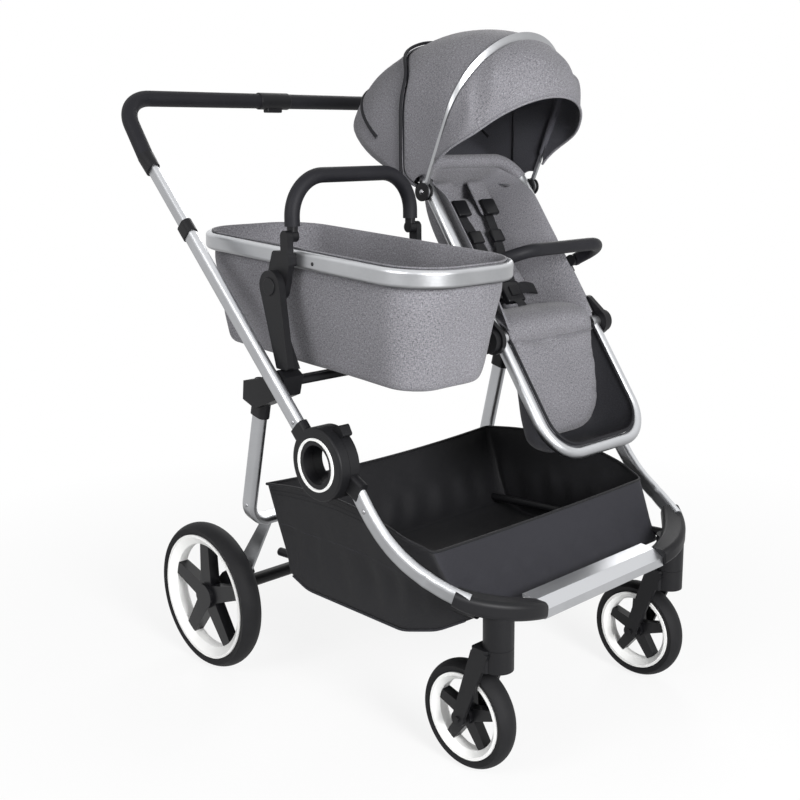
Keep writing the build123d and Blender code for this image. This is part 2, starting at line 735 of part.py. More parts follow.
def tub_solid(wall, bottom, top, extra):
    """Tapered tub between two heights; `wall` draws the sides in, `extra` runs past the top."""
    with BuildPart() as piece:
        with BuildSketch(cot_plane(bottom)):
            RectangleRounded(
                cot_length - 2 * (floor_inset_x + wall), cot_width - 2 * (floor_inset_y + wall), floor_corner - wall
            )
        with BuildSketch(cot_plane(top)):
            cot_outline(tub_inset + wall, cot_corner - tub_inset - wall)
        loft()
        if extra:
            with BuildSketch(cot_plane(top)):
                cot_outline(tub_inset + wall, cot_corner - tub_inset - wall)
            extrude(amount=extra)
    return piece.part


with BuildPart() as cot_tub:
    add(tub_solid(0, -cot_depth, tub_top, 0))
    fillet(cot_tub.faces().sort_by(Axis.Z)[0].edges(), 14)
    add(tub_solid(cot_wall, -cot_depth + cot_wall, tub_top, 10), mode=Mode.SUBTRACT)
write(cot_tub, "carrycot_tub")

mattress_thick = 26.0
with BuildPart() as mattress:
    with BuildSketch(cot_plane(-cot_depth + cot_wall + body_gap)):
        RectangleRounded(
            cot_length - 2 * (floor_inset_x + 10), cot_width - 2 * (floor_inset_y + 9), floor_corner - 10
        )
    extrude(amount=mattress_thick)
    fillet(mattress.edges().filter_by(cot_plane(0)), 8)
write(mattress, "mattress")

# Carrycot mounts: round plate on the riser's pin, a neck up to a clamp on the rim, a lug for the arch
arch_x = 14.0
arch_z = 858.0
arch_pin_r = 5.0
clamp_x = 2.0
clamp_z = cot_z - (clamp_x - cot_x) * tan(pitch) - 2  # a little below the rim's middle line
knuckle_r = 10.0
knuckle_wide = 13.0
mount_right = -riser_out + riser_thick + body_gap
mount_inner = -riser_in - riser_thick - body_gap


def cot_mount(outer, side):
    """Mount with its outer face at `outer`; `side` is +1 where the carrycot lies towards +Y."""
    low = min(outer, outer + side * mount_thick)
    with BuildPart() as piece:
        with BuildSketch(side_plane(low)):
            with Locations((-riser_x, riser_z)):
                Circle(riser_head_r - 1)
            with Locations((-clamp_x, clamp_z)):
                RectangleRounded(46, 30, 8)
            make_hull()
            with Locations((-arch_x, arch_z)):
                Circle(knuckle_r)
            with Locations((-arch_x, arch_z - 14)):
                Rectangle(2 * knuckle_r, 28)
            with Locations((-riser_x, riser_z)):
                Circle(pivot_r + running_gap, mode=Mode.SUBTRACT)
        extrude(amount=mount_thick)
        clamp = sorted((outer + side * mount_thick, outer + side * (mount_thick + 9)))
        with BuildSketch(side_plane(clamp[0])):
            with Locations((-clamp_x, clamp_z)):
                RectangleRounded(46, 22, 6)
        extrude(amount=clamp[1] - clamp[0])
        pin = sorted((outer + side * mount_thick, outer + side * (mount_thick + knuckle_wide + 1)))
        add(disc(arch_x, pin[0], pin[1], arch_z, arch_pin_r))
        add(cot_rim.part, mode=Mode.SUBTRACT)
    return piece.part


with BuildPart() as cot_mounts:
    add(cot_mount(mount_right, 1))
    add(cot_mount(mount_inner, -1))
write(cot_mounts, "carrycot_mounts")

# Arch handle over the carrycot: black knuckles and a foam covered bow
knuckle_right = mount_right + mount_thick + body_gap
knuckle_left = mount_inner - mount_thick - body_gap - knuckle_wide
arch_foot = 874.0
arch_top = 956.0
arch_r = 13.0
with BuildPart() as arch_ends:
    for y_from in (knuckle_right, knuckle_left):
        add(disc(arch_x, y_from, y_from + knuckle_wide, arch_z, knuckle_r, arch_pin_r + running_gap))
        with BuildSketch(Plane.XY.offset(arch_z + knuckle_r - 3)):
            with Locations((arch_x, y_from + knuckle_wide / 2)):
                RectangleRounded(18, knuckle_wide, 4)
        extrude(amount=arch_foot - arch_z - knuckle_r + 3)
write(arch_ends, "arch_ends")

arch_y_right = knuckle_right + knuckle_wide / 2
arch_y_left = knuckle_left + knuckle_wide / 2
with BuildPart() as arch_grip:
    with BuildLine():
        FilletPolyline(
            (arch_x, arch_y_right, arch_foot), (arch_x, arch_y_right, arch_top),
            (arch_x, arch_y_left, arch_top), (arch_x, arch_y_left, arch_foot), radius=68,
        )
    with BuildSketch(Plane(origin=(arch_x, arch_y_right, arch_foot), z_dir=(0, 0, 1))):
        Circle(arch_r)
    sweep()
write(arch_grip, "arch_grip")

# Seat frame: upper U and its hubs
seat_top = 376.0
knuckle_seat_r = 13.0
seat_pin_r = 6.0
seat_hub_r = 26.0


def seat_u(low, high, radius, bend):
    """U of round tube in the seat's plane, its legs from `low` to the cross tube at `high`."""
    with BuildPart() as piece:
        with BuildLine():
            FilletPolyline(
                seat_point(-seat_half, low), seat_point(-seat_half, high),
                seat_point(seat_half, high), seat_point(seat_half, low), radius=bend,
            )
        direction = seat_up if high > low else seat_up * -1
        with BuildSketch(Plane(origin=seat_point(-seat_half, low), z_dir=direction)):
            Circle(radius)
        sweep()
    return piece.part


with BuildPart() as seat_frame:
    add(seat_u(knuckle_seat_r + 4, seat_top, seat_tube_r, 60))
write(seat_frame, "seat_frame")

hub_faces = (
    (arm_in + arm_plate + body_gap, seat_y - seat_half - seat_tube_r, 1),
    (arm_out - body_gap, seat_y + seat_half + seat_tube_r, -1),
)
with BuildPart() as seat_hubs:
    for outer, inner, side in hub_faces:
        with BuildSketch(side_plane(min(outer, inner))):
            with Locations((-seat_hub_x, seat_hub_z)):
                Circle(seat_hub_r)
            with Locations((-seat_point(0, 44).X, seat_point(0, 44).Z)):
                Circle(seat_tube_r + 2)
            make_hull()
        extrude(amount=abs(inner - outer))
        hole = sorted((outer, outer + side * seat_pivot_long))
        add(disc(seat_hub_x, hole[0], hole[1], seat_hub_z, pivot_r + running_gap), mode=Mode.SUBTRACT)
    add(disc(seat_hub_x, hub_faces[0][1], hub_faces[1][1], seat_hub_z, seat_pin_r))
write(seat_hubs, "seat_hubs")

# Backrest: padded board with raised sides and a hollow for the child's back
back_half = 118.0
back_low = 95.0
back_rear = -72.0
back_thick = 48.0
back_high = 344.0
with BuildPart() as seat_back:
    with BuildSketch(seat_plane(back_rear)):
        with Locations((0, (back_low + back_high) / 2)):
            RectangleRounded(2 * back_half, back_high - back_low, 46)
    extrude(amount=back_thick)
    fillet(seat_back.edges().filter_by(seat_plane()), 13)
    with BuildSketch(seat_plane(back_rear + back_thick + 4)):
        with Locations((0, (back_low + back_high) / 2 - 20)):
            RectangleRounded(2 * back_half - 84, back_high - back_low - 30, 40)
    extrude(amount=-14, taper=35, mode=Mode.SUBTRACT)
write(seat_back, "seat_back")

# Seat cushion: crowned pan over the rod between the hubs
pan_rear = 58.0
pan_front = 201.0
pan_low = 668.0
pan_high = 692.0
with BuildPart() as seat_cushion:
    with BuildSketch(Plane.XY.offset(pan_low)):
        with Locations(((pan_rear + pan_front) / 2, seat_y)):
            RectangleRounded(pan_front - pan_rear, 2 * back_half, 26)
    extrude(amount=pan_high - pan_low)
    fillet(seat_cushion.faces().sort_by(Axis.Z)[-1].edges(), 10)
    fillet(seat_cushion.faces().sort_by(Axis.Z)[0].edges(), 5)
write(seat_cushion, "seat_cushion")

# Harness: shoulder pads, waist and crotch straps, round buckle
strap_x = 36.0
strap_wide = 25.0
strap_thick = 2.5
back_face = back_rear + back_thick + body_gap
buckle_up = 120.0
with BuildPart() as harness:
    for side in (-1, 1):
        with BuildSketch(seat_plane(back_face)):
            with Locations((side * strap_x, 250)):
                RectangleRounded(46, 120, 9)
        extrude(amount=9)
        with BuildSketch(seat_plane(back_face + 2)):
            with BuildLine():
                Polyline(
                    (side * (strap_x - 12), 196), (side * (strap_x + 12), 196),
                    (side * 22, buckle_up), (0, buckle_up), close=True,
                )
            make_face()
        extrude(amount=strap_thick)
        with BuildSketch(seat_plane(back_face + 2)):
            with Locations((side * 58, buckle_up - 4)):
                Rectangle(76, strap_wide)
        extrude(amount=strap_thick)
    with BuildSketch(seat_plane(back_face)):
        with Locations((0, buckle_up)):
            RectangleRounded(54, 48, 14)
    extrude(amount=15)
    with BuildSketch(seat_plane(back_face + 2)):
        with Locations((0, buckle_up - 34)):
            Rectangle(strap_wide, 40)
    extrude(amount=strap_thick)
write(harness, "harness")

# Leg rest: U of tube on the seat hub's rod, with a calf pad on a cloth panel
legrest_length = 240.0
with BuildPart() as legrest_tube:
    add(seat_u(-8, -legrest_length, seat_tube_r, 70))
    for y_mid in (seat_y - seat_half, seat_y + seat_half):
        add(disc(seat_hub_x, y_mid - seat_tube_r + body_gap, y_mid + seat_tube_r, seat_hub_z, knuckle_seat_r))
    add(
        disc(seat_hub_x, seat_y - seat_half - 30, seat_y + seat_half + 30, seat_hub_z, seat_pin_r + running_gap),
        mode=Mode.SUBTRACT,
    )
write(legrest_tube, "legrest_tube")

calf_lean = radians(15.6)
calf_plane = Plane(
    origin=(seat_hub_x + 42, seat_y, seat_hub_z - 18), x_dir=(0, 1, 0), z_dir=(cos(calf_lean), 0, sin(calf_lean))
)
panel_half = seat_half - seat_tube_r
with BuildPart() as calf_pad:
    with BuildSketch(calf_plane.offset(-10)):
        with BuildLine():
            FilletPolyline((-116, 0), (116, 0), (70, -172), (-70, -172), radius=24, close=True)
        make_face()
    extrude(amount=20)
    fillet(calf_pad.edges().filter_by(calf_plane), 8)
    with BuildSketch(seat_plane(-14)):
        with BuildLine():
            FilletPolyline(
                (-panel_half, -46), (panel_half, -46), (panel_half, seat_tube_r - legrest_length),
                (-panel_half, seat_tube_r - legrest_length), radius=50, close=True,
            )
        make_face()
    extrude(amount=cloth)
    add(legrest_tube.part, mode=Mode.SUBTRACT)
write(calf_pad, "calf_pad")

# Bumper bar across the seat, on sockets clamped to the side tubes
bumper_up = 124.0
bumper_forward = 30.0
bumper_pivot = seat_point(0, bumper_up, bumper_forward)
bumper_x = 207.0
bumper_z = 818.0
bumper_r = 12.0
bumper_eye_r = 11.0
bumper_pin_r = 5.0
with BuildPart() as bumper_sockets:
    for side in (-1, 1):
        tube_mid = side * seat_half
        with BuildSketch(Plane(origin=seat_point(tube_mid, bumper_up - 14), x_dir=(0, 1, 0), z_dir=seat_up)):
            Circle(seat_tube_r + 4)
            Circle(seat_tube_r, mode=Mode.SUBTRACT)
        extrude(amount=28)
        cheek = seat_y + tube_mid - side * (seat_tube_r + 4)
        low = min(cheek, cheek + side * 5)
        with BuildSketch(side_plane(low)):
            with Locations((-bumper_pivot.X, bumper_pivot.Z)):
                Circle(bumper_eye_r)
            with Locations((-seat_point(0, bumper_up).X, seat_point(0, bumper_up).Z)):
                Circle(bumper_eye_r)
            make_hull()
        extrude(amount=5)
        pin = sorted((cheek, cheek + side * 24))
        add(disc(bumper_pivot.X, pin[0], pin[1], bumper_pivot.Z, bumper_pin_r))
    add(seat_frame.part, mode=Mode.SUBTRACT)
write(bumper_sockets, "bumper_sockets")

eye_wide = 16.0
with BuildPart() as bumper_bar:
    near = seat_y - seat_half + 2
    far = seat_y + seat_half - 2
    with BuildLine():
        FilletPolyline(
            (bumper_pivot.X, near, bumper_pivot.Z), (bumper_x, near, bumper_z),
            (bumper_x, far, bumper_z), (bumper_pivot.X, far, bumper_pivot.Z), radius=58,
        )
    arm = Vector(bumper_x - bumper_pivot.X, 0, bumper_z - bumper_pivot.Z)
    with BuildSketch(Plane(origin=(bumper_pivot.X, near, bumper_pivot.Z), z_dir=arm.normalized())):
        Circle(bumper_r)
    sweep()
    for side, y_mid in ((1, near), (-1, far)):
        cheek = seat_y - side * seat_half + side * (seat_tube_r - 1 - body_gap)
        clear = sorted((cheek, cheek + side * 20))
        add(disc(bumper_pivot.X, clear[0], clear[1], bumper_pivot.Z, bumper_eye_r + 4), mode=Mode.SUBTRACT)
        eye = sorted((cheek, cheek - side * eye_wide))
        add(disc(bumper_pivot.X, eye[0], eye[1], bumper_pivot.Z, bumper_eye_r))
    add(
        disc(bumper_pivot.X, near - 40, far + 40, bumper_pivot.Z, bumper_pin_r + running_gap), mode=Mode.SUBTRACT
    )
write(bumper_bar, "bumper_bar")

# Canopy: flat bow, front and rear cloth, visor; all about one axis on the seat tubes
hood = seat_point(0, 312)
bow_half = 152.0
bow_thick = 6.0
bow_wide = 16.0
hood_cloth = 2.5
hood_r = 303.0
hood_pin_r = 5.0
front_half = bow_half + bow_thick / 2
rear_half = front_half + 1 + hood_cloth
bow_angle = 66.0
front_end = 109.0
rear_start = 106.0
rear_end = 157.0
visor_angle = 41.0
visor_r = 252.0


def hood_plane(angle):
    """Plane through the canopy's axis at an angle up from straight ahead; sketch y points outward."""
    turn = radians(angle)
    return Plane(origin=(hood.X, seat_y, hood.Z), x_dir=(0, 1, 0), z_dir=(sin(turn), 0, -cos(turn)))


def hood_band(angle, half, top_r, low_r, thick):
    """Thin arch in the plane at `angle`: straight sides and a half round top."""
    inner = half - thick
    with BuildSketch(hood_plane(angle)) as band:
        with BuildLine():
            Line((half, low_r), (half, top_r - half))
            ThreePointArc((half, top_r - half), (0, top_r), (-half, top_r - half))
            Polyline((-half, top_r - half), (-half, low_r), (-inner, low_r), (-inner, top_r - half))
            ThreePointArc((-inner, top_r - half), (0, top_r - thick), (inner, top_r - half))
            Polyline((inner, top_r - half), (inner, low_r), (half, low_r))
        make_face()
    return band.sketch


def gore(half, top_r, low_r, start, end):
    """Cloth shell swept round the canopy's axis between two angles."""
    with BuildPart() as piece:
        add(hood_band(start, half, top_r, low_r, hood_cloth))
        revolve(axis=Axis((hood.X, seat_y, hood.Z), (0, -1, 0)), revolution_arc=end - start)
    return piece.part


with BuildPart() as canopy_rear:
    add(gore(rear_half, hood_r, 19, rear_start, rear_end))
write(canopy_rear, "canopy_rear")

front_r = hood_r - hood_cloth - 1
with BuildPart() as canopy_bow:
    add(hood_band(bow_angle, front_half, front_r, 8, bow_thick))
    extrude(amount=bow_wide / 2, both=True)
    for side in (-1, 1):
        face = sorted((seat_y + side * (front_half - bow_thick), seat_y + side * front_half))
        add(disc(hood.X, face[0], face[1], hood.Z, 14))
    add(
        disc(hood.X, seat_y - rear_half, seat_y + rear_half, hood.Z, hood_pin_r + running_gap), mode=Mode.SUBTRACT
    )
write(canopy_bow, "canopy_bow")

with BuildPart() as canopy_front:
    add(gore(front_half, front_r, 40, bow_angle + 1, front_end))
    add(canopy_bow.part, mode=Mode.SUBTRACT)
write(canopy_front, "canopy_front")

with BuildPart() as canopy_mounts:
    for side in (-1, 1):
        tube_face = seat_y + side * (seat_half + seat_tube_r)
        seat_end = sorted((tube_face - side * 3, seat_y + side * (bow_half - bow_thick / 2 - body_gap)))
        head_end = sorted((seat_y + side * (bow_half + bow_thick / 2 + body_gap), seat_y + side * rear_half))
        add(disc(hood.X, seat_end[0], seat_end[1], hood.Z, 16))
        add(disc(hood.X, min(seat_end[0], head_end[0]), max(seat_end[1], head_end[1]), hood.Z, hood_pin_r))
        add(disc(hood.X, head_end[0], head_end[1], hood.Z, 17))
    add(seat_frame.part, mode=Mode.SUBTRACT)
write(canopy_mounts, "canopy_mounts")

with BuildPart() as visor:
    add(hood_band(bow_angle - 1, front_half, front_r, 72, hood_cloth))
    add(hood_band(visor_angle, front_half - 6, visor_r, 66, hood_cloth))
    loft()
    add(canopy_bow.part, mode=Mode.SUBTRACT)
write(visor, "canopy_visor")
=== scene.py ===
# %% [markdown]
# # A side-by-side baby stroller
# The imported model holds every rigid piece: wheels, forks, tubes, hubs and hinges. This lesson
# gives those pieces their finishes and makes everything that is sewn: the carrycot's tub, the
# seat, the canopy and the basket. All sizes are in metres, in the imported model's own frame:
# X forward, Y to the stroller's left, Z up.

# %% Load the frame
import json
from math import acos, cos, degrees, exp, pi, radians, sin

import bmesh
import bpy
from mathutils import Matrix, Quaternion, Vector, noise


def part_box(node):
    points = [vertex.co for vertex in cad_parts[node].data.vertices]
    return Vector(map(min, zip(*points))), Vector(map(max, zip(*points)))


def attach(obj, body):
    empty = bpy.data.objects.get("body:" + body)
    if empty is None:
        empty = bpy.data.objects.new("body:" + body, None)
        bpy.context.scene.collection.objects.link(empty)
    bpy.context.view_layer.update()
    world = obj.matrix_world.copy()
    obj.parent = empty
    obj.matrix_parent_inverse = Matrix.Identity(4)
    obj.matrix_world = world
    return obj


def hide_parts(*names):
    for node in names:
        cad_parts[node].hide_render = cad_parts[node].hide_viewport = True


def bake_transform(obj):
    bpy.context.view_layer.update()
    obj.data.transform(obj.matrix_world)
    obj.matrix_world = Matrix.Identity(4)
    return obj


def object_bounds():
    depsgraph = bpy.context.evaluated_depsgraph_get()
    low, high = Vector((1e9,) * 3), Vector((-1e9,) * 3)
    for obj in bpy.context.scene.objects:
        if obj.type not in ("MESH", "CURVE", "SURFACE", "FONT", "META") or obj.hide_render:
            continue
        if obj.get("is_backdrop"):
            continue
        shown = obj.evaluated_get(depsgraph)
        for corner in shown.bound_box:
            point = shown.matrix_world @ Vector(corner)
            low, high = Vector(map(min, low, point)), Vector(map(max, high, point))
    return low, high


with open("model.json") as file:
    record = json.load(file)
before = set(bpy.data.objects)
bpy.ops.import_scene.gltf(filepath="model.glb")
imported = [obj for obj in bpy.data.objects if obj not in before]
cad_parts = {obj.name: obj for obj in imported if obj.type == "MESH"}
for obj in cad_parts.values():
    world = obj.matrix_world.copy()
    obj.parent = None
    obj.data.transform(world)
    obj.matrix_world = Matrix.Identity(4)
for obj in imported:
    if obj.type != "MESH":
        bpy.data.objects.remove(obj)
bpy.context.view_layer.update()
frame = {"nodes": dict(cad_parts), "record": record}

joints = {j["name"]: j for j in frame["record"]["behaviour"]["joints"]}

# %% [markdown]
# ## Writing shader maths as expressions
# A procedural finish is arithmetic on textures. Adding each Math node by hand hides that
# arithmetic, so one small class wraps a socket and lets `mask * 0.3 + 0.1` add the nodes.

# %% A socket that takes part in expressions
class Wire:
    """An output socket of a node tree that can be added, subtracted, multiplied or raised to a power."""

    def __init__(self, socket):
        self.socket = socket
        self.tree = socket.id_data

    def math(self, operation, left, right):
        return node(self.tree, "ShaderNodeMath", {"operation": operation}, {0: left, 1: right})

    def __add__(self, other):
        return self.math("ADD", self, other)

    def __sub__(self, other):
        return self.math("SUBTRACT", self, other)

    def __mul__(self, other):
        return self.math("MULTIPLY", self, other)

    def __pow__(self, other):
        return self.math("POWER", self, other)

    def __rsub__(self, other):
        return self.math("SUBTRACT", other, self)

    __radd__ = __add__
    __rmul__ = __mul__

    def limit(self, low, high):
        """Same value, kept between two numbers."""
        return node(self.tree, "ShaderNodeClamp", {}, {"Value": self, "Min": low, "Max": high})


# %% Any node from one function
def plug(socket, value):
    """Give an input socket a link or a plain value."""
    if isinstance(value, Wire):
        value.tree.links.new(value.socket, socket)
    else:
        socket.default_value = value


def node(tree, kind, settings=None, sockets=None, out=0):
    """Any node: settings first, then its sockets' values or links; gives one output as a Wire."""
    made = tree.nodes.new(kind)
    for name, value in (settings or {}).items():
        setattr(made, name, value)
    for key, value in (sockets or {}).items():
        plug(made.inputs[key], value)
    return Wire(made.outputs[out])


# %% A finish is a material with one shader
class Finish:
    """A material with one Principled shader; `set` takes numbers, colours or Wires."""

    def __init__(self, name):
        self.material = bpy.data.materials.new(name)
        self.material.use_nodes = True
        self.tree = self.material.node_tree
        self.shader = self.tree.nodes["Principled BSDF"]

    def make(self, kind, settings=None, sockets=None, out=0):
        return node(self.tree, kind, settings, sockets, out)

    def place(self, uv=False):
        return self.make("ShaderNodeTexCoord", out="UV" if uv else "Object")

    def noise(self, where, scale, detail=2.0, roughness=0.5):
        sockets = {"Vector": where, "Scale": scale, "Detail": detail, "Roughness": roughness}
        return self.make("ShaderNodeTexNoise", {}, sockets)

    def stretch(self, where, scale):
        return self.make("ShaderNodeMapping", {}, {"Vector": where, "Scale": scale})

    def blend(self, mask, low, high):
        """Colour from low to high by a mask."""
        return self.make("ShaderNodeMix", {"data_type": "RGBA"}, {0: mask, 6: low, 7: high}, out=2)

    def bump(self, height, strength, distance):
        return self.make("ShaderNodeBump", {}, {"Height": height, "Strength": strength, "Distance": distance})

    def set(self, **values):
        for name, value in values.items():
            plug(self.shader.inputs[name.replace("_", " ")], value)
        return self.material


def rgb(r, g, b):
    return (r, g, b, 1.0)


# %% [markdown]
# ## Hard finishes
# The tubes are satin anodised aluminium: soft highlights, faint drawing lines and small
# differences in gloss. Their colour holds painted shade: it is darker where the surface faces
# down and lighter where it faces up. Moulded parts are near-black plastic with a spark-eroded grain.
# Wear shows as slightly paler, smoother patches, never as a flat colour.

# %% Metal and plastic
painted_shade_below = 0.38  # share of the colour left where the metal faces down: painted shade


def satin_metal(name, colour, rough):
    """Drawn and anodised metal with painted shade: darker where it faces down, brighter where it faces up."""
    f = Finish(name)
    at = f.place()
    drawn = f.noise(f.stretch(at, (40, 40, 120)), 3.0, 3.0)
    cloud = f.noise(at, 14.0, 2.0)
    f.set(Metallic=1.0, IOR=1.45)
    # Painted shade: the colour runs from a darkened copy where the surface faces down to the full colour
    # where it faces up; cloud and drawn lines add random tone.
    painted_shade_colour = tuple(painted_shade_below * c for c in colour)
    facing = f.make("ShaderNodeNewGeometry", out="Normal")
    above = f.make("ShaderNodeSeparateXYZ", {}, {"Vector": facing}, out=2)
    mask = (above * 0.80 + 0.42 + (cloud - 0.5) * 0.25 + (drawn - 0.5) * 0.10).limit(0, 1)
    f.set(Base_Color=f.blend(mask, rgb(*painted_shade_colour), rgb(*colour)))
    f.set(Roughness=(drawn * 0.10 + cloud * 0.06 + rough).limit(0.05, 0.9))
    return f.set(Normal=f.bump(drawn, 0.02, 0.0002))


def moulded(name, colour, rough, grain, coat=0.0):
    """Plastic or paint with a fine grain and slightly paler worn patches."""
    f = Finish(name)
    at = f.place()
    fine = f.noise(at, 1400.0, 2.0, 0.6)
    cloud = f.noise(at, 9.0, 3.0)
    pale = tuple(1.5 * c + 0.002 for c in colour)
    f.set(Base_Color=f.blend((cloud ** 2.0) * 0.7, rgb(*colour), rgb(*pale)))
    f.set(Roughness=(rough + fine * 0.12 + cloud * 0.08 - 0.1).limit(0.05, 1))
    f.set(Coat_Weight=coat, Coat_Roughness=0.25, Specular_IOR_Level=0.20)
    return f.set(Normal=f.bump(fine, grain, 0.0004))


# %% Rubber and foam
def tyre_rubber(name):
    """Matt black rubber with a little dust."""
    f = Finish(name)
    at = f.place()
    dust = f.noise(at, 30.0, 4.0, 0.65)
    fine = f.noise(at, 900.0, 2.0)
    f.set(Base_Color=f.blend((dust - 0.35).limit(0, 1), rgb(0.007, 0.007, 0.008), rgb(0.020, 0.020, 0.021)))
    f.set(Specular_IOR_Level=0.18)
    f.set(Roughness=(0.58 + dust * 0.2).limit(0, 1))
    return f.set(Normal=f.bump(fine, 0.12, 0.0004))


def foam(name):
    """Closed-cell foam: small cells in the surface, cloudy black."""
    f = Finish(name)
    at = f.place()
    cells = f.make("ShaderNodeTexVoronoi", {}, {"Vector": at, "Scale": 620.0})
    cloud = f.noise(at, 16.0, 3.0)
    f.set(Base_Color=f.blend(cloud, rgb(0.005, 0.005, 0.007), rgb(0.013, 0.013, 0.016)))
    f.set(Specular_IOR_Level=0.18)
    f.set(Roughness=(0.5 + cloud * 0.16).limit(0, 1))
    return f.set(Normal=f.bump(cells, 0.15, 0.0005))


# %% The hard finishes
aluminium = satin_metal("satin_aluminium", (0.62, 0.63, 0.65), 0.29)
bright_steel = satin_metal("bright_rivet_steel", (0.50, 0.50, 0.52), 0.14)
black_plastic = moulded("black_grained_plastic", (0.006, 0.006, 0.007), 0.48, 0.16)
black_gloss = moulded("black_half_gloss_plastic", (0.005, 0.005, 0.006), 0.36, 0.05, coat=0.08)
white_plastic = moulded("white_half_gloss_plastic", (0.80, 0.80, 0.79), 0.36, 0.03)
black_steel = moulded("black_powder_coat", (0.006, 0.006, 0.007), 0.44, 0.22)
tyre_black = tyre_rubber("tyre_rubber")
grip_foam = foam("grip_foam")
print("hard finishes made", len(bpy.data.materials))

# %% [markdown]
# ## Cloth finishes
# The grey cloth is a heather: each yarn is spun from pale and dark fibres, so close up it is
# speckled and from afar an even grey. Its pattern follows the cloth's own UV map, which every
# sewn piece below measures in metres, so threads have one size everywhere. The last cell of this
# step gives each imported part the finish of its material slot.

# %% Woven cloths
def woven(name, dark, light, thread, heather, sheen, rough=0.85):
    """Plain weave: warp and weft ribs, speckled by `heather`, with a soft sheen."""
    f = Finish(name)
    uv = f.place(uv=True)
    fine = f.noise(uv, 560.0, 2.0, 0.7)
    warp = f.noise(f.stretch(uv, (620, 200, 1)), 1.0, 2.0)
    weft = f.noise(f.stretch(uv, (200, 620, 1)), 1.0, 2.0)
    cloud = f.noise(f.place(), 7.0, 3.0)
    speck = (warp + weft) * 0.5 * heather + fine * (1 - heather)
    mask = ((speck - 0.5) * 3.3 + (cloud - 0.5) * 0.35 + 0.5).limit(0, 1)
    f.set(Base_Color=f.blend(mask, rgb(*dark), rgb(*light)))
    f.set(Roughness=(rough + (cloud - 0.5) * 0.1).limit(0, 1))
    f.set(Sheen_Weight=sheen, Sheen_Roughness=0.45, Specular_IOR_Level=0.2)
    ribs = []
    for axis in (0, 1):
        phase = f.make("ShaderNodeSeparateXYZ", {}, {"Vector": uv}, out=axis) * (2 * pi / thread)
        ribs.append(f.make("ShaderNodeMath", {"operation": "SINE"}, {0: phase}))
    return f.set(Normal=f.bump(ribs[0] * ribs[1] * 0.5 + fine, 0.35, 0.0005))


# %% The cloth finishes
heather_grey = woven("heather_grey_cloth", (0.050, 0.050, 0.055), (0.295, 0.290, 0.315), 0.0012, 0.6, 0.15)
lining_dark = woven("dark_lining", (0.007, 0.007, 0.009), (0.026, 0.026, 0.031), 0.0010, 0.4, 0.06, 0.7)
lining_grey = woven("grey_lining", (0.036, 0.036, 0.043), (0.080, 0.080, 0.094), 0.0010, 0.4, 0.15, 0.7)
nylon_black = woven("black_nylon", (0.004, 0.004, 0.005), (0.012, 0.012, 0.014), 0.0010, 0.4, 0.05, 0.55)
nylon_slate = woven("slate_nylon", (0.009, 0.009, 0.012), (0.022, 0.022, 0.028), 0.0010, 0.4, 0.08, 0.6)
webbing = woven("black_webbing", (0.004, 0.004, 0.005), (0.016, 0.016, 0.018), 0.0022, 0.5, 0.06, 0.6)
thread_grey = moulded("seam_thread", (0.22, 0.22, 0.23), 0.8, 0.1)
thread_black = moulded("dark_seam_thread", (0.010, 0.010, 0.012), 0.75, 0.1)

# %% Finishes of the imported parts
slot_finish = {
    "satin_aluminium": aluminium, "black_plastic": black_plastic, "black_gloss_plastic": black_gloss,
    "white_plastic": white_plastic, "tyre_rubber": tyre_black, "black_steel": black_steel,
    "grip_foam": grip_foam, "grey_fabric": heather_grey, "black_fabric": nylon_black,
}
for part in frame["record"]["subparts"]:
    mesh = frame["nodes"][part["node"]].data
    mesh.materials.clear()
    mesh.materials.append(slot_finish[part["material_slot"]])

# %% [markdown]
# ## Cloth as grids
# A sewn panel is a grid of points: one direction runs along the seam, the other across the
# cloth. From such a grid one helper builds a quad mesh, measures a UV map in metres, gives the
# cloth its thickness and rounds it with one subdivision. Folds come from smooth noise that is read
# by place, so nothing is random from run to run.

# %% Grid helper
def new_object(name, data):
    obj = bpy.data.objects.new(name, data)
    bpy.context.collection.objects.link(obj)
    return obj


def rounded_off(obj):
    """One live subdivision."""
    smooth = obj.modifiers.new("soft", "SUBSURF")
    smooth.levels = smooth.render_levels = 1
    return obj


def running_length(points):
    """Distance along a line of points, at each of them."""
    total = [0.0]
    for p, q in zip(points, points[1:]):
        total.append(total[-1] + (Vector(q) - Vector(p)).length)
    return total


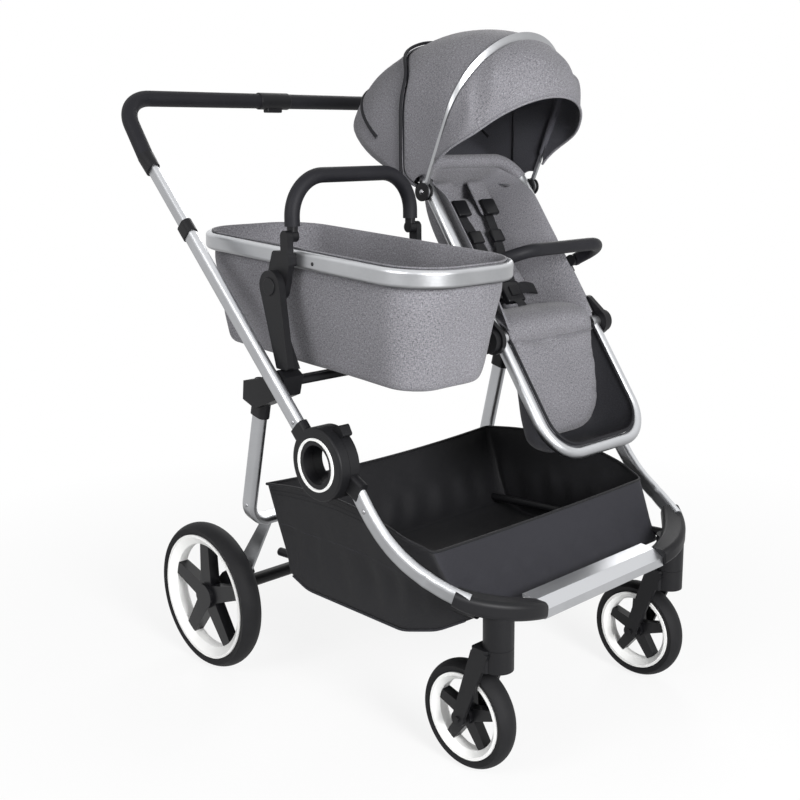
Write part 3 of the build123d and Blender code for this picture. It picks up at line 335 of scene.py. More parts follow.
def cloth(name, rows, materials, wall=0.0, close=False, face_slot=None, offset=-1.0):
    """Quad sheet through rows of points; `close` joins each row's ends; wall 0 leaves it single.

    A second material goes on the far side, unless `face_slot(i, j)` picks one for each face.
    """
    count = len(rows[0])
    cells = [(i, j) for i in range(len(rows) - 1) for j in range(count if close else count - 1)]
    faces = []
    for i, j in cells:
        k = (j + 1) % count
        faces.append((i * count + j, i * count + k, (i + 1) * count + k, (i + 1) * count + j))
    mesh = bpy.data.meshes.new(name)
    mesh.from_pydata([tuple(p) for row in rows for p in row], [], faces)
    middle = rows[len(rows) // 2]
    along = running_length(list(middle) + [middle[0]])
    across = running_length([row[count // 4] for row in rows])
    layer = mesh.uv_layers.new(name="cloth")
    corners = [c for i, j in cells for c in ((i, j), (i, j + 1), (i + 1, j + 1), (i + 1, j))]
    for spot, (i, j) in zip(layer.data, corners):
        spot.uv = (along[j], across[i])
    for m in materials:
        mesh.materials.append(m)
    for polygon, (i, j) in zip(mesh.polygons, cells):
        polygon.use_smooth = True
        polygon.material_index = face_slot(i, j) if face_slot else 0
    if close and Vector(rows[-1][0]) == Vector(rows[-1][-1]):
        pole = bmesh.new()  # the last row is one point, so its corners are merged
        pole.from_mesh(mesh)
        pole.verts.ensure_lookup_table()
        bmesh.ops.remove_doubles(pole, verts=pole.verts[-count:], dist=1e-5)
        pole.to_mesh(mesh)
        pole.free()
    obj = new_object(name, mesh)
    if wall:
        solid = obj.modifiers.new("wall", "SOLIDIFY")
        solid.thickness, solid.offset, solid.use_rim = wall, offset, True
        if len(materials) > 1 and face_slot is None:
            solid.material_offset = 1
    return rounded_off(obj)


# %% Small helpers for shapes
def ease(x):
    """Smooth step from 0 to 1."""
    x = max(0.0, min(1.0, x))
    return x * x * (3 - 2 * x)


def mix(a, b, t):
    """From a to b by the share t."""
    return a + (b - a) * t


def steps(first, last, count):
    """Even steps from first to last."""
    return [mix(first, last, k / (count - 1)) for k in range(count)]


def crease(point, size, seed):
    """Smooth repeatable noise from -1 to 1 for folds, `size` across."""
    return noise.noise(Vector(point) / size + Vector((seed, 2 * seed, 3 * seed)))


# %% Plain meshes
def plain_mesh(obj):
    """Replace an object's mesh by its evaluated result and drop its modifiers."""
    graph = bpy.context.evaluated_depsgraph_get()
    graph.update()
    made = bpy.data.meshes.new_from_object(obj.evaluated_get(graph))
    obj.modifiers.clear()
    obj.data = made
    return obj


# %% Lines and pipings
def through(points, count):
    """Places on a smooth line through a few given points."""
    line = [Vector(p) for p in points]
    line = [2 * line[0] - line[1]] + line + [2 * line[-1] - line[-2]]
    spans = len(points) - 1
    out = []
    for k in range(count):
        i = min(int(spans * k / (count - 1)), spans - 1)
        t = spans * k / (count - 1) - i
        a, b, c, d = line[i:i + 4]
        bent = (2 * a - 5 * b + 4 * c - d) * t ** 2 + (3 * b - a - 3 * c + d) * t ** 3
        out.append(0.5 * (2 * b + (c - a) * t + bent))
    return out


def piping(name, path, radius, material, sides=8):
    """Round cord sewn into a seam, along points."""
    rows = []
    for i, p in enumerate(path):
        ahead = (path[min(i + 1, len(path) - 1)] - path[max(i - 1, 0)]).normalized()
        side = ahead.cross(Vector((0.31, 0.22, 0.92))).normalized()
        up = side.cross(ahead)
        turns = [2 * pi * k / sides for k in range(sides)]
        rows.append([p + (side * cos(a) + up * sin(a)) * radius for a in turns])
    return cloth(name, rows, [material], close=True)


# %% Joining and finishing pieces
def from_bmesh(name, bm, materials=()):
    """Object from a bmesh, which is freed."""
    mesh = bpy.data.meshes.new(name)
    bm.to_mesh(mesh)
    bm.free()
    for m in materials:
        mesh.materials.append(m)
    return new_object(name, mesh)


def joined(name, objects):
    """One plain mesh from several objects, modifiers applied."""
    bm = bmesh.new()
    materials = []
    for o in objects:
        plain_mesh(o)
        shift = []
        for m in o.data.materials:
            if m not in materials:
                materials.append(m)
            shift.append(materials.index(m))
        for polygon in o.data.polygons:
            polygon.material_index = shift[polygon.material_index]
        if not o.data.uv_layers:
            box_uv(o.data)
        bm.from_mesh(o.data)
    for o in objects:
        bpy.data.objects.remove(o)
    return from_bmesh(name, bm, materials)


def finish_piece(obj, body, slot, *nodes):
    """Ride on a body, stand for CAD nodes; `slot` is not used."""
    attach(obj, body)
    if nodes:
        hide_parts(*nodes)
    return obj


# %% [markdown]
# ## Carrycot tub
# The tub is one cloth bag laced inside the oval rim. Its lining rolls over the rim's top edge,
# its walls taper to a smaller floor and pucker a little near the lower corners, where the cloth
# is gathered. It is lofted from rounded rectangles in the rim's own tilted plane.

# %% The rim's plane
cot_pitch = radians(3.8)
rim_low, rim_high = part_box("carrycot_rim")
cot_mid = (rim_low + rim_high) / 2
cot_half_x = (rim_high.x - rim_low.x) / 2 / cos(cot_pitch) - 0.001
cot_half_y = (rim_high.y - rim_low.y) / 2
cot_turn = Matrix.Rotation(cot_pitch, 3, "Y")


def cot_point(x, y, z):
    """Place in the frame from the rim's own coordinates."""
    return cot_mid + cot_turn @ Vector((x, y, z))


def rounded_ring(half_x, half_y, radius, per_corner, per_side):
    """Points round a rounded rectangle, anticlockwise from the end of the +X side."""
    ring = []
    corners = ((1, 1, 0), (-1, 1, 90), (-1, -1, 180), (1, -1, 270))
    for sx, sy, start in corners:
        cx, cy = sx * (half_x - radius), sy * (half_y - radius)
        for k in range(per_corner + 1):
            a = radians(start + 90 * k / per_corner)
            ring.append((cx + radius * cos(a), cy + radius * sin(a)))
    out = []
    for i, p in enumerate(ring):
        q = ring[(i + 1) % len(ring)]
        out.append(p)
        if (i + 1) % (per_corner + 1) == 0:
            for k in range(1, per_side):
                out.append((mix(p[0], q[0], k / per_side), mix(p[1], q[1], k / per_side)))
    return out


# %% Tub cloth
tub_levels = [  # height, inset along X, inset along Y, corner radius
    (0.0155, 0.0105, 0.0105, 0.084), (0.0165, 0.0135, 0.0135, 0.081), (0.012, 0.0150, 0.0150, 0.080),
    (-0.018, 0.0175, 0.0165, 0.079), (-0.030, 0.0155, 0.0140, 0.080), (-0.060, 0.0215, 0.0180, 0.078),
    (-0.100, 0.0285, 0.0235, 0.074), (-0.140, 0.0345, 0.0300, 0.068), (-0.165, 0.0385, 0.0345, 0.064),
    (-0.180, 0.0415, 0.0375, 0.062), (-0.188, 0.0470, 0.0430, 0.056), (-0.190, 0.0570, 0.0530, 0.046),
]
tub_rows = []
for height, inset_x, inset_y, radius in tub_levels:
    low = ease((-height - 0.06) / 0.12)
    row = []
    for x, y in rounded_ring(cot_half_x - inset_x, cot_half_y - inset_y, radius, 10, 10):
        out = Vector((x / cot_half_x ** 2, y / cot_half_y ** 2, 0)).normalized()
        corner = abs(x / cot_half_x) ** 3 * abs(y / cot_half_y) ** 2
        slack = 0.0036 * low * crease((x, y, height), 0.055, 3.1)
        pucker = 0.007 * low * corner * crease((x, y, 2 * height), 0.022, 5.7)
        fold = slack + pucker
        row.append(cot_point(x + out.x * fold, y + out.y * fold, height))
    tub_rows.append(row)
floor_height, inset_x, inset_y, radius = tub_levels[-1]
for shrink in (0.8, 0.5, 0.2, 0.06, 0.0):  # the floor closes in one point
    half_x, half_y = (cot_half_x - inset_x) * shrink, (cot_half_y - inset_y) * shrink
    ring = rounded_ring(half_x, half_y, radius * shrink, 10, 10)
    tub_rows.append([cot_point(x, y, floor_height + 0.0008) for x, y in ring])
tub = cloth("carrycot_tub_cloth", [row[::-1] for row in tub_rows], [heather_grey], wall=0.003, close=True)
finish_piece(tub, "carrycot", "grey_fabric", "carrycot_tub")
print("tub points", len(tub.data.vertices))

# %% [markdown]
# ## Padded pieces
# Mattress, backrest, seat cushion and calf pad are stuffed. Each starts a little smaller than
# its place, is remeshed into even cells and blown up by the cloth solver for twenty frames, so
# its faces crown and its sides draw in between the corners, as sewn padding does.

# %% Pad helper
def pad_block(name, outline, thick, place, taper):
    """Closed slab from an outline: `place(x, y, z)` puts it in the frame; edges drawn in by taper."""
    bm = bmesh.new()
    n = len(outline)
    cx, cy = sum(p[0] for p in outline) / n, sum(p[1] for p in outline) / n
    layers = []
    for z, inset in ((0.0, taper), (0.35, 0.0), (0.65, 0.0), (1.0, taper)):
        ring = []
        for x, y in outline:
            d = Vector((x - cx, y - cy))
            d = d * (1 - inset / max(d.length, 1e-6))
            ring.append(bm.verts.new(place(cx + d.x, cy + d.y, (z - 0.5) * thick)))
        layers.append(ring)
    for a, b in zip(layers, layers[1:]):
        for i in range(n):
            bm.faces.new((a[i], a[(i + 1) % n], b[(i + 1) % n], b[i]))
    bm.faces.new(layers[0][::-1])
    bm.faces.new(layers[-1])
    bmesh.ops.recalc_face_normals(bm, faces=bm.faces)
    return from_bmesh(name, bm)


# %% Blowing a pad up
def box_uv(mesh):
    """UV map in metres, each face seen along its main axis."""
    layer = mesh.uv_layers.new(name="cloth")
    for polygon in mesh.polygons:
        n = polygon.normal
        axis = max(range(3), key=lambda i: abs(n[i]))
        u, v = [(1, 2), (0, 2), (0, 1)][axis]
        for li in polygon.loop_indices:
            co = mesh.vertices[mesh.loops[li].vertex_index].co
            layer.data[li].uv = (co[u], co[v])


pad_voxel, pad_pressure, pad_frames = 0.006, 4.0, 20


def puff(obj, material, cap, shape):
    """Even cells, cloth pressure with its travel capped, the sewn shape, one subdivision."""
    cells = obj.modifiers.new("cells", "REMESH")
    cells.mode, cells.voxel_size, cells.use_smooth_shade = "VOXEL", pad_voxel, True
    plain_mesh(obj)
    before = [v.co.copy() for v in obj.data.vertices]
    soft = obj.modifiers.new("air", "CLOTH")
    soft.settings.use_pressure = True
    soft.settings.uniform_pressure_force = pad_pressure
    soft.settings.effector_weights.gravity = 0.0
    soft.settings.quality = 5
    soft.point_cache.frame_start, soft.point_cache.frame_end = 1, pad_frames
    scene = bpy.context.scene
    for moment in range(1, pad_frames + 1):
        scene.frame_set(moment)
        bpy.context.view_layer.update()
    plain_mesh(obj)
    scene.frame_set(1)
    for v, old in zip(obj.data.vertices, before):
        move = v.co - old
        if move.length > cap:
            v.co = old + move * (cap / move.length)
    for v in obj.data.vertices:
        v.co += shape(v.co)
    obj.data.materials.clear()
    obj.data.materials.append(material)
    for polygon in obj.data.polygons:
        polygon.use_smooth = True
    box_uv(obj.data)
    return rounded_off(obj)


# %% [markdown]
# ## Mattress
# A thin stuffed pad fills the tub's floor. It is quilted by three lines of stitching across, and
# each line draws the top cover down. The lines come after the remesh, which would erase them.

# %% Mattress
mat_low, mat_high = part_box("mattress")
mat_half_x = (mat_high.x - mat_low.x) / 2 - 0.006
mat_half_y = (mat_high.y - mat_low.y) / 2 - 0.005
mattress_height = floor_height + 0.0045 + 0.013  # of its middle: room for the cloth, then half the pad
mattress = pad_block(
    "mattress_pad", rounded_ring(mat_half_x, mat_half_y, 0.048, 8, 1), 0.018,
    lambda x, y, z: cot_point(x, y, mattress_height + z), taper=0.006,
)


def mattress_channels(p):
    """Three sewn lines across the mattress."""
    q = cot_turn.transposed() @ (p - cot_mid)
    dip = sum(exp(-((q.x - c) / 0.006) ** 2) for c in (-0.13, 0.0, 0.13))
    return cot_turn @ Vector((0, 0, -0.003 * min(dip, 1.0) if q.z > mattress_height else 0.0))


puff(mattress, heather_grey, cap=0.006, shape=mattress_channels)
finish_piece(mattress, "carrycot", "grey_fabric", "mattress")
print("mattress faces", len(mattress.data.polygons))

# %% [markdown]
# ## The seat's own coordinates
# The seat leans back, so its pieces are easier to place in the seat's plane: across, up the
# backrest, and forward of the side tubes. One function turns those three into the frame.

# %% Seat plane
seat_hub = Vector(joints["seat_recline"]["pos_m"])
seat_lean = radians(34.1)
seat_up = Vector((-sin(seat_lean), 0, cos(seat_lean)))
seat_front = Vector((cos(seat_lean), 0, sin(seat_lean)))
tube_half = 0.136  # seat's middle to a side tube's axis
tube_r = 0.011


def seat_point(across, up, forward):
    """Place in the frame from the seat's own coordinates."""
    return seat_hub + Vector((0, across, 0)) + seat_up * up + seat_front * forward


def seat_local(p):
    """The seat's own coordinates of a place in the frame."""
    d = p - seat_hub
    return Vector((d.y, d.dot(seat_up), d.dot(seat_front)))


print("seat hub", tuple(seat_hub))


# %% [markdown]
# ## Seat shell
# One cloth hangs in the seat's frame like a hammock: its edges run down inside the side tubes and
# stand a little proud of them, and its middle lies behind the backrest and under the cushion. The
# broad slopes between edge and middle are the seat's side wings, slack enough to gather in folds
# just above the cushion. Two side profiles, at the edge and in the middle, give the whole sheet.

# %% Seat shell
shell_half, shell_rows, shell_columns = 0.1240, 41, 37
wing_share = 0.46  # share of the half width that slopes
shell_edge = through(  # up the seat, forward of the tubes
    [(0.366, -0.004), (0.325, 0.004), (0.285, 0.020), (0.220, 0.022), (0.150, 0.023), (0.075, 0.024),
     (0.006, 0.016)], shell_rows)
shell_middle = through(
    [(0.366, -0.004), (0.354, -0.066), (0.300, -0.092), (0.200, -0.097), (0.100, -0.102), (0.060, -0.104),
     (0.034, -0.066), (0.006, -0.014)], shell_rows)
rows = []
for edge, middle in zip(shell_edge, shell_middle):
    low = ease((0.17 - edge.x) / 0.12)
    row = []
    for across in steps(-shell_half, shell_half, shell_columns):
        inside = ease((1 - abs(across) / shell_half) / wing_share)
        slope = 4 * inside * (1 - inside)
        gather = 0.0095 * low * slope * sin(16 * inside + 26 * edge.x)
        gather += 0.0030 * slope * crease((across, 0.6 * edge.x, 0.0), 0.035, 8.3)
        up, forward = mix(edge.x, middle.x, inside), mix(edge.y, middle.y, inside)
        row.append(seat_point(across, up, forward + gather))
    rows.append(row)
shell = cloth("seat_shell_cloth", rows, [heather_grey], wall=0.0022)
finish_piece(shell, "seat", "grey_fabric")

# %% [markdown]
# ## Sleeves on the tubes
# The shell is held by cloth sleeves: one over the frame's top bend and one low on each side tube.
# A sleeve is a round cover a little wider than its tube, so the piping helper makes it.

# %% Sleeves on the tubes
bend, seat_top = 0.060, 0.376  # radius and height of the frame's top bend
sleeve_r, sleeve_sides = tube_r + 0.0024, 14
arc = [radians(a) for a in range(16, 91, 6)]
over = [(-tube_half + bend - bend * cos(a), seat_top - bend + bend * sin(a)) for a in arc]
over += [(-x, up) for x, up in over[::-1]]
paths = [[seat_point(x, up, 0) for x, up in over]]
for side in (-1, 1):
    paths.append([seat_point(side * tube_half, up, 0) for up in steps(0.106, 0.050, 7)])
sleeves = [piping("sleeve", path, sleeve_r, heather_grey, sleeve_sides) for path in paths]
sleeve = joined("seat_tube_sleeves", sleeves)
finish_piece(sleeve, "seat", "grey_fabric")
print("shell", shell.name, "sleeve", sleeve.name)

# %% [markdown]
# ## Backrest and cushion
# The backrest is a long pad with a hollow down its middle and a seam along each side, the
# cushion a short one with a tuck where the crotch strap comes through. Both are blown up first and
# shaped after, because the seams are narrower than the remesh's cells.

# %% Backrest
back_half, back_low, back_high = 0.086, 0.092, 0.342
back_rear, back_face = -0.088, -0.056
back_mid, back_depth = (back_low + back_high) / 2, (back_rear + back_face) / 2
back_ring = rounded_ring(back_half, (back_high - back_low) / 2, 0.040, 8, 1)
backrest = pad_block(
    "backrest_pad", [(x, back_mid + y) for x, y in back_ring], 0.028,
    lambda x, y, z: seat_point(x, y, back_depth + z), taper=0.010,
)


def backrest_form(p):
    """Hollow for the back and a seam down each side."""
    q = seat_local(p)
    if q.z < back_depth:
        return Vector((0, 0, 0))
    hollow = 0.007 * ease(1 - abs(q.x) / 0.070)
    seam = 0.003 * exp(-((abs(q.x) - 0.066) / 0.004) ** 2)
    wrinkle = 0.0018 * crease((q.x, 2 * q.y, q.z), 0.03, 1.3)
    return seat_front * (wrinkle - hollow - seam)


puff(backrest, heather_grey, cap=0.010, shape=backrest_form)
finish_piece(backrest, "seat", "grey_fabric", "seat_back")

# %% Seat cushion
pan_low, pan_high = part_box("seat_cushion")
cushion_rear, cushion_front = pan_low.x + 0.002, seat_hub.x - 0.006
cushion_mid = Vector(((cushion_rear + cushion_front) / 2, seat_hub.y, (pan_low.z + pan_high.z) / 2))
cushion = pad_block(
    "seat_cushion_pad",
    rounded_ring((cushion_front - cushion_rear) / 2, (pan_high.y - pan_low.y) / 2 - 0.004, 0.022, 6, 1),
    0.018, lambda x, y, z: cushion_mid + Vector((x, y, z)), taper=0.006,
)


def cushion_form(p):
    """A tuck round the crotch strap's slot, and light wrinkles."""
    d = (p - cushion_mid).xy
    tuck = 0.005 * exp(-(d.length / 0.026) ** 2)
    top = 1.0 if p.z > cushion_mid.z else 0.0
    return Vector((0, 0, top * (0.001 * crease(p, 0.03, 4.4) - tuck)))


puff(cushion, heather_grey, cap=0.007, shape=cushion_form)
finish_piece(cushion, "seat", "grey_fabric", "seat_cushion")

# %% [markdown]
# ## Knee and calf
# One cover runs from the cushion over its front edge to a sewn line, and the calf pad hangs from
# that line. The leg rest swings under the edge, and slack in the real strip over the knee takes
# up the swing.

# %% Knee strip
knee_half, knee_flat = 0.1195, 0.100  # half width, and where the edges start to turn in
knee_line = through(  # X and Z from the seat's hub
    [(-0.066, 0.0345), (-0.036, 0.0360), (-0.014, 0.0335), (0.004, 0.0250), (0.0118, 0.0125),
     (0.0122, 0.0030), (0.0080, -0.0060), (0.0030, -0.0170)], 17)
rows = []
for x, z in knee_line:
    row = []
    for across in steps(-knee_half, knee_half, 33):
        edge = ease((abs(across) - knee_flat) / (knee_half - knee_flat))
        rise = 0.003 * (1 - (across / knee_half) ** 2) + 0.0009 * crease((across, x, z), 0.03, 6.1)
        inward = Vector((-0.005, 0, -0.009)) * edge
        row.append(seat_hub + Vector((x + rise * 0.5, across, z + rise)) + inward)
    rows.append(row)
knee = cloth("knee_cloth", rows, [heather_grey], wall=0.004)
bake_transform(knee)
print("knee strip points", len(knee.data.vertices))

# %% Calf pad
calf_lean = radians(12.0)
calf_up = Vector((-sin(calf_lean), 0, cos(calf_lean)))
calf_front = Vector((cos(calf_lean), 0, sin(calf_lean)))
calf_top = seat_hub + Vector((0.0055, 0, -0.001))
calf_half, calf_long = 0.1205, 0.201


def calf_point(across, up, forward):
    """Place in the frame from the calf pad's own coordinates."""
    return calf_top + Vector((0, across, 0)) + calf_up * up + calf_front * forward


calf_ring = []  # straight top and a full round below, from one end of the top to the other
for a in steps(0, pi, 49):
    wide = abs(cos(a)) ** 0.6 * (1 if a < pi / 2 else -1)
    calf_ring.append((calf_half * wide, -calf_long * sin(a) ** 0.45))
calf = pad_block("calf_pad_cover", calf_ring, 0.014, calf_point, taper=0.005)


def calf_form(p):
    """Light wrinkles."""
    return calf_front * (0.0012 * crease(p, 0.035, 2.2))


puff(calf, heather_grey, cap=0.007, shape=calf_form)
finish_piece(calf, "legrest", "grey_fabric", "calf_pad")
print("pads", backrest.name, cushion.name, calf.name)

# %% [markdown]
# ## Leg rest pocket
# Behind the calf pad a deep cloth pocket hangs in the leg rest's loop: grey lining outside,
# dark lining inside. It follows the loop a few millimetres inside the tube, with a dark binding
# along its mouth, and closes behind the pad.

# %% Leg rest pocket
loop_low, loop_bend = -0.240, 0.070
pocket_gap = 0.0015  # from the tube to the cloth
pocket_half = tube_half - tube_r - pocket_gap
pocket_top = -0.014


def loop_line(inset, top):
    """Points in the seat plane along the inside of the leg rest's loop, from one end to the other."""
    half = pocket_half - inset
    bottom = loop_low + tube_r + pocket_gap + inset
    r = loop_bend - tube_r - inset
    quarter = [radians(90 * k / 8) for k in range(9)]
    line = [(-half, mix(top, bottom + r, k / 8)) for k in range(8)]
    line += [(-half + r - r * cos(a), bottom + r - r * sin(a)) for a in quarter]
    line += [(mix(-half + r, half - r, k / 6), bottom) for k in range(1, 6)]
    line += [(half - r + r * sin(a), bottom + r - r * cos(a)) for a in quarter]
    line += [(half, mix(bottom + r, top, k / 8)) for k in range(1, 9)]
    return line


def pocket_point(x, y, depth):
    """Place in the pocket, which is deeper at its foot than at its top."""
    deep = 0.040 + 0.055 * ease((-y - 0.03) / 0.15)
    return seat_point(x, y, 0.007 - depth * deep + 0.0016 * crease((x, y, depth), 0.04, 7.7))


pocket_levels = [  # share of the depth, inset from the tube
    (0.0, 0.0), (0.12, 0.001), (0.30, 0.003), (0.55, 0.009), (0.78, 0.018), (0.92, 0.030), (0.98, 0.042),
    (1.0, 0.052),
]
rows = []
for depth, inset in pocket_levels:
    rows.append([pocket_point(x, y, depth) for x, y in loop_line(inset, pocket_top)])
rows.append([pocket_point(x * 0.25, mix(y, -0.11, 0.75), 1.0) for x, y in loop_line(0.045, pocket_top)])
pocket = cloth("legrest_pocket", rows, [lining_dark, lining_grey], wall=0.0022)
finish_piece(pocket, "legrest", "grey_fabric")
binding_path = [seat_point(x, y, 0.009) for x, y in loop_line(0.0015, pocket_top + 0.006)]
binding = piping("pocket_binding", binding_path, 0.0030, thread_black)
finish_piece(binding, "legrest", "black_fabric")
print("pocket points", len(pocket.data.vertices))

# %% [markdown]
# ## Harness
# Flat webbing is modelled directly: a strap is a ribbon along a path with a small thickness.
# The shoulder pads are quilted sleeves on the straps, and the adjusters and the buckle are small
# moulded parts with rounded edges.

# %% Ribbons and small mouldings
def ribbon(name, path, wide_dir, width, thick, material):
    """Flat strap along points; `wide_dir` is its width's direction."""
    side = Vector(wide_dir).normalized()
    rows = [[p + side * (width * (k / 4 - 0.5)) for k in range(5)] for p in path]
    return cloth(name, rows, [material], wall=thick, offset=0.0)


def moulding(name, size, place, material, bevel=0.003):
    """Rounded block of the given size, put in the frame by `place`."""
    bm = bmesh.new()
    bmesh.ops.create_cube(bm, size=1.0)
    bmesh.ops.scale(bm, vec=Vector(size), verts=bm.verts)
    bmesh.ops.bevel(bm, geom=bm.edges[:], offset=bevel, segments=3, profile=0.6, affect="EDGES")
    for v in bm.verts:
        v.co = place(*v.co)
    bmesh.ops.recalc_face_normals(bm, faces=bm.faces)
    obj = from_bmesh(name, bm, [material])
    for polygon in obj.data.polygons:
        polygon.use_smooth = True
    return obj


# %% Harness sizes
strap_x, strap_face = 0.045, -0.043  # a shoulder strap's place across, and the straps' depth
strap_wide, strap_thick = 0.025, 0.0016
strap_high, buckle_up, buckle_x = 0.350, 0.112, 0.016  # where a strap starts and meets the buckle
pad_high, pad_low, pad_wide, pad_fat = 0.352, 0.276, 0.0255, 0.0078
pads, hard_bits, straps = [], [], []


def strap(path, wide_dir):
    straps.append(ribbon("strap", path, wide_dir, strap_wide, strap_thick, webbing))


def hard_bit(name, size, x, up, lift, material, bevel=0.003):
    """Moulding on the straps, `lift` in front of them."""
    def place(a, b, c):
        return seat_point(x + a, up + b, strap_face + lift + c)
    hard_bits.append(moulding(name, size, place, material, bevel))


# %% Shoulder pads, straps and buckle
for side in (-1, 1):
    rows = []
    for t in steps(0, 1, 17):
        end = 0.4 if t in (0, 1) else 1.0
        fat = pad_fat * (1 - 0.22 * abs(cos(5 * pi * t))) * end
        wide = pad_wide * (0.8 + 0.2 * end)
        up = mix(pad_high, pad_low, t)
        turns = [2 * pi * k / 12 for k in range(12)]
        rows.append([seat_point(side * strap_x + wide * cos(a), up, strap_face + 0.004 + fat * sin(a))
                     for a in turns])
    pads.append(cloth("pad", rows, [heather_grey], close=True))
    strap([seat_point(side * mix(strap_x, buckle_x, ease(t)), mix(strap_high, buckle_up, t),
                      strap_face + 0.007 * sin(pi * t)) for t in steps(0, 1, 13)], (0, 1, 0))
    strap([seat_point(side * mix(buckle_x, 0.104, t), buckle_up - 0.006 + 0.01 * sin(pi * t),
                      strap_face - 0.012 * t) for t in steps(0, 1, 9)], tuple(seat_up))
    for up, size, lift in ((0.288, (0.036, 0.034, 0.010), 0.014), (0.226, (0.032, 0.026, 0.009), 0.008)):
        x = side * mix(strap_x, buckle_x, ease((strap_high - up) / (strap_high - buckle_up)))
        hard_bit("adjuster", size, x, up, lift, black_gloss)
hard_bit("buckle", (0.050, 0.044, 0.015), 0, buckle_up - 0.008, 0.003, black_gloss, 0.005)
hard_bit("press", (0.022, 0.020, 0.004), 0, buckle_up - 0.008, 0.0115, black_plastic, 0.0015)
crotch_top, crotch_foot = seat_point(0, buckle_up - 0.02, strap_face), cushion_mid + Vector((0, 0, 0.0135))
strap([mix(crotch_top, crotch_foot, t) + Vector((0.006, 0, 0.004)) * sin(pi * t) for t in steps(0, 1, 9)],
      (0, 1, 0))
shoulder_pads = joined("shoulder_pads", pads)
harness_webbing = joined("harness_webbing", straps)
harness_buckles = joined("harness_buckles", hard_bits)
finish_piece(shoulder_pads, "seat", "grey_fabric")
finish_piece(harness_webbing, "seat", "black_fabric", "harness")
finish_piece(harness_buckles, "seat", "black_plastic")
print("harness", [o.name for o in (shoulder_pads, harness_webbing, harness_buckles)])

# %% [markdown]
# ## Canopy
# The canopy is cloth stretched over hoops that share one hinge line. Each cloth is a surface
# swept about that line: straight sides and a round top, a little slack between its hoops. The
# rear cloth stays on the seat, and the front cloth slides under it when the bright bow folds back.

# %% Canopy surface
hood = Vector(joints["canopy_fold"]["pos_m"])
bow_low, bow_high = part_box("canopy_bow")
front_half = (bow_high.y - bow_low.y) / 2
front_r, cloth_gap = 0.2995, 0.0035  # the front cloth's reach, and the rear cloth's room over it
rear_half, rear_r = front_half + cloth_gap, front_r + cloth_gap
seam_back = 0.050  # the upright seam's distance behind the hinge
seam_limit = 0.84  # most that this distance may be of the reach, close to the hinge
seam_lean = 14  # degrees that the seam leans back over the top
arch_columns, hood_wall = 49, 0.002


def hood_profile(half, top, low, count):
    """Arch in one hoop's plane: (across, distance from the hinge), from the right side to the left."""
    straight = top - half - low
    total = 2 * straight + pi * half
    line = []
    for k in range(count):
        s = total * k / (count - 1)
        if s < straight:
            line.append((-half, low + s))
        elif s < straight + pi * half:
            a = (s - straight) / half
            line.append((-half * cos(a), top - half + half * sin(a)))
        else:
            line.append((half, top - half - (s - straight - pi * half)))
    return line


def hood_point(across, reach, angle):
    """Place at a reach from the hinge line, turned up from forward by an angle in degrees."""
    a = radians(angle)
    return hood + Vector((reach * cos(a), across, reach * sin(a)))


def seam_angle(reach):
    """The seam between front and rear cloth stands upright at the sides and leans back over the top."""
    upright = degrees(acos(-min(seam_back / reach, seam_limit)))
    return upright + seam_lean * ease((reach - 0.20) / 0.10)


def hood_cloth(name, hoops, slack, seed, seam_row):
    """Cloth through hoops (angle, half width, top reach, low reach); one end row follows the seam."""
    rows = []
    last = len(hoops) - 1
    for i, (angle, half, top, low) in enumerate(hoops):
        share = i / last if seam_row else 1 - i / last
        row = []
        for across, reach in hood_profile(half, top, low, arch_columns):
            free = ease((reach - 0.06) / 0.16) * sin(pi * i / last)
            give = slack * free
            fold = 0.0045 * free * abs(crease((across, reach, angle / 300), 0.06, seed))
            fold = -fold if seam_row else fold  # the front cloth folds away inside the rear one
            lean = share ** 2 * (seam_angle(reach) - hoops[seam_row][0])
            row.append(hood_point(across * (1 - give * 1.2), reach - give + fold, angle + lean))
        rows.append(row)
    return cloth(name, rows, [heather_grey, lining_grey], wall=hood_wall)


# %% [markdown]
# ## Rear and front cloth
# The rear cloth is fixed to the seat: it stands full over the head and draws in to the backrest.
# The front cloth crosses the hinge between seat and bow, and it stays a little inside the rear
# cloth, where the bow folds it away.

# %% Rear cloth with its lining
def rear_reach(angle):
    """The rear cloth stands full over the head and draws in to the backrest."""
    full = 0.016 * ease((angle - 110) / 28)
    drawn_in = 0.190 * ease((angle - 150) / 26)
    return rear_r + full - drawn_in


rear_hoops = []
for angle in steps(106.2, 174.0, 26):
    close = ease((angle - 150) / 24)
    rear_hoops.append((angle, rear_half - 0.062 * close, rear_reach(angle), mix(0.020, 0.008, close)))
rear_cloth = hood_cloth("canopy_rear_cloth", rear_hoops, slack=0.0, seed=2.5, seam_row=0)
finish_piece(rear_cloth, "seat", "grey_fabric", "canopy_rear")

# %% Front cloth
front_hoops = [(a, front_half, front_r, 0.030) for a in steps(67.6, 108.5, 14)]
front_cloth = hood_cloth("canopy_front_cloth", front_hoops, slack=0.004, seed=4.5, seam_row=-1)
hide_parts("canopy_front")
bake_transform(front_cloth)

# %% [markdown]
# ## Visor
# The visor is a soft peak sewn to the bow. Three rows tuck under the bow, then the cloth runs out to
# a hem that reaches further forward over the middle than at the sides, and puckers beside the
# middle, where it is gathered. It rides on the bow, so it needs no blend.

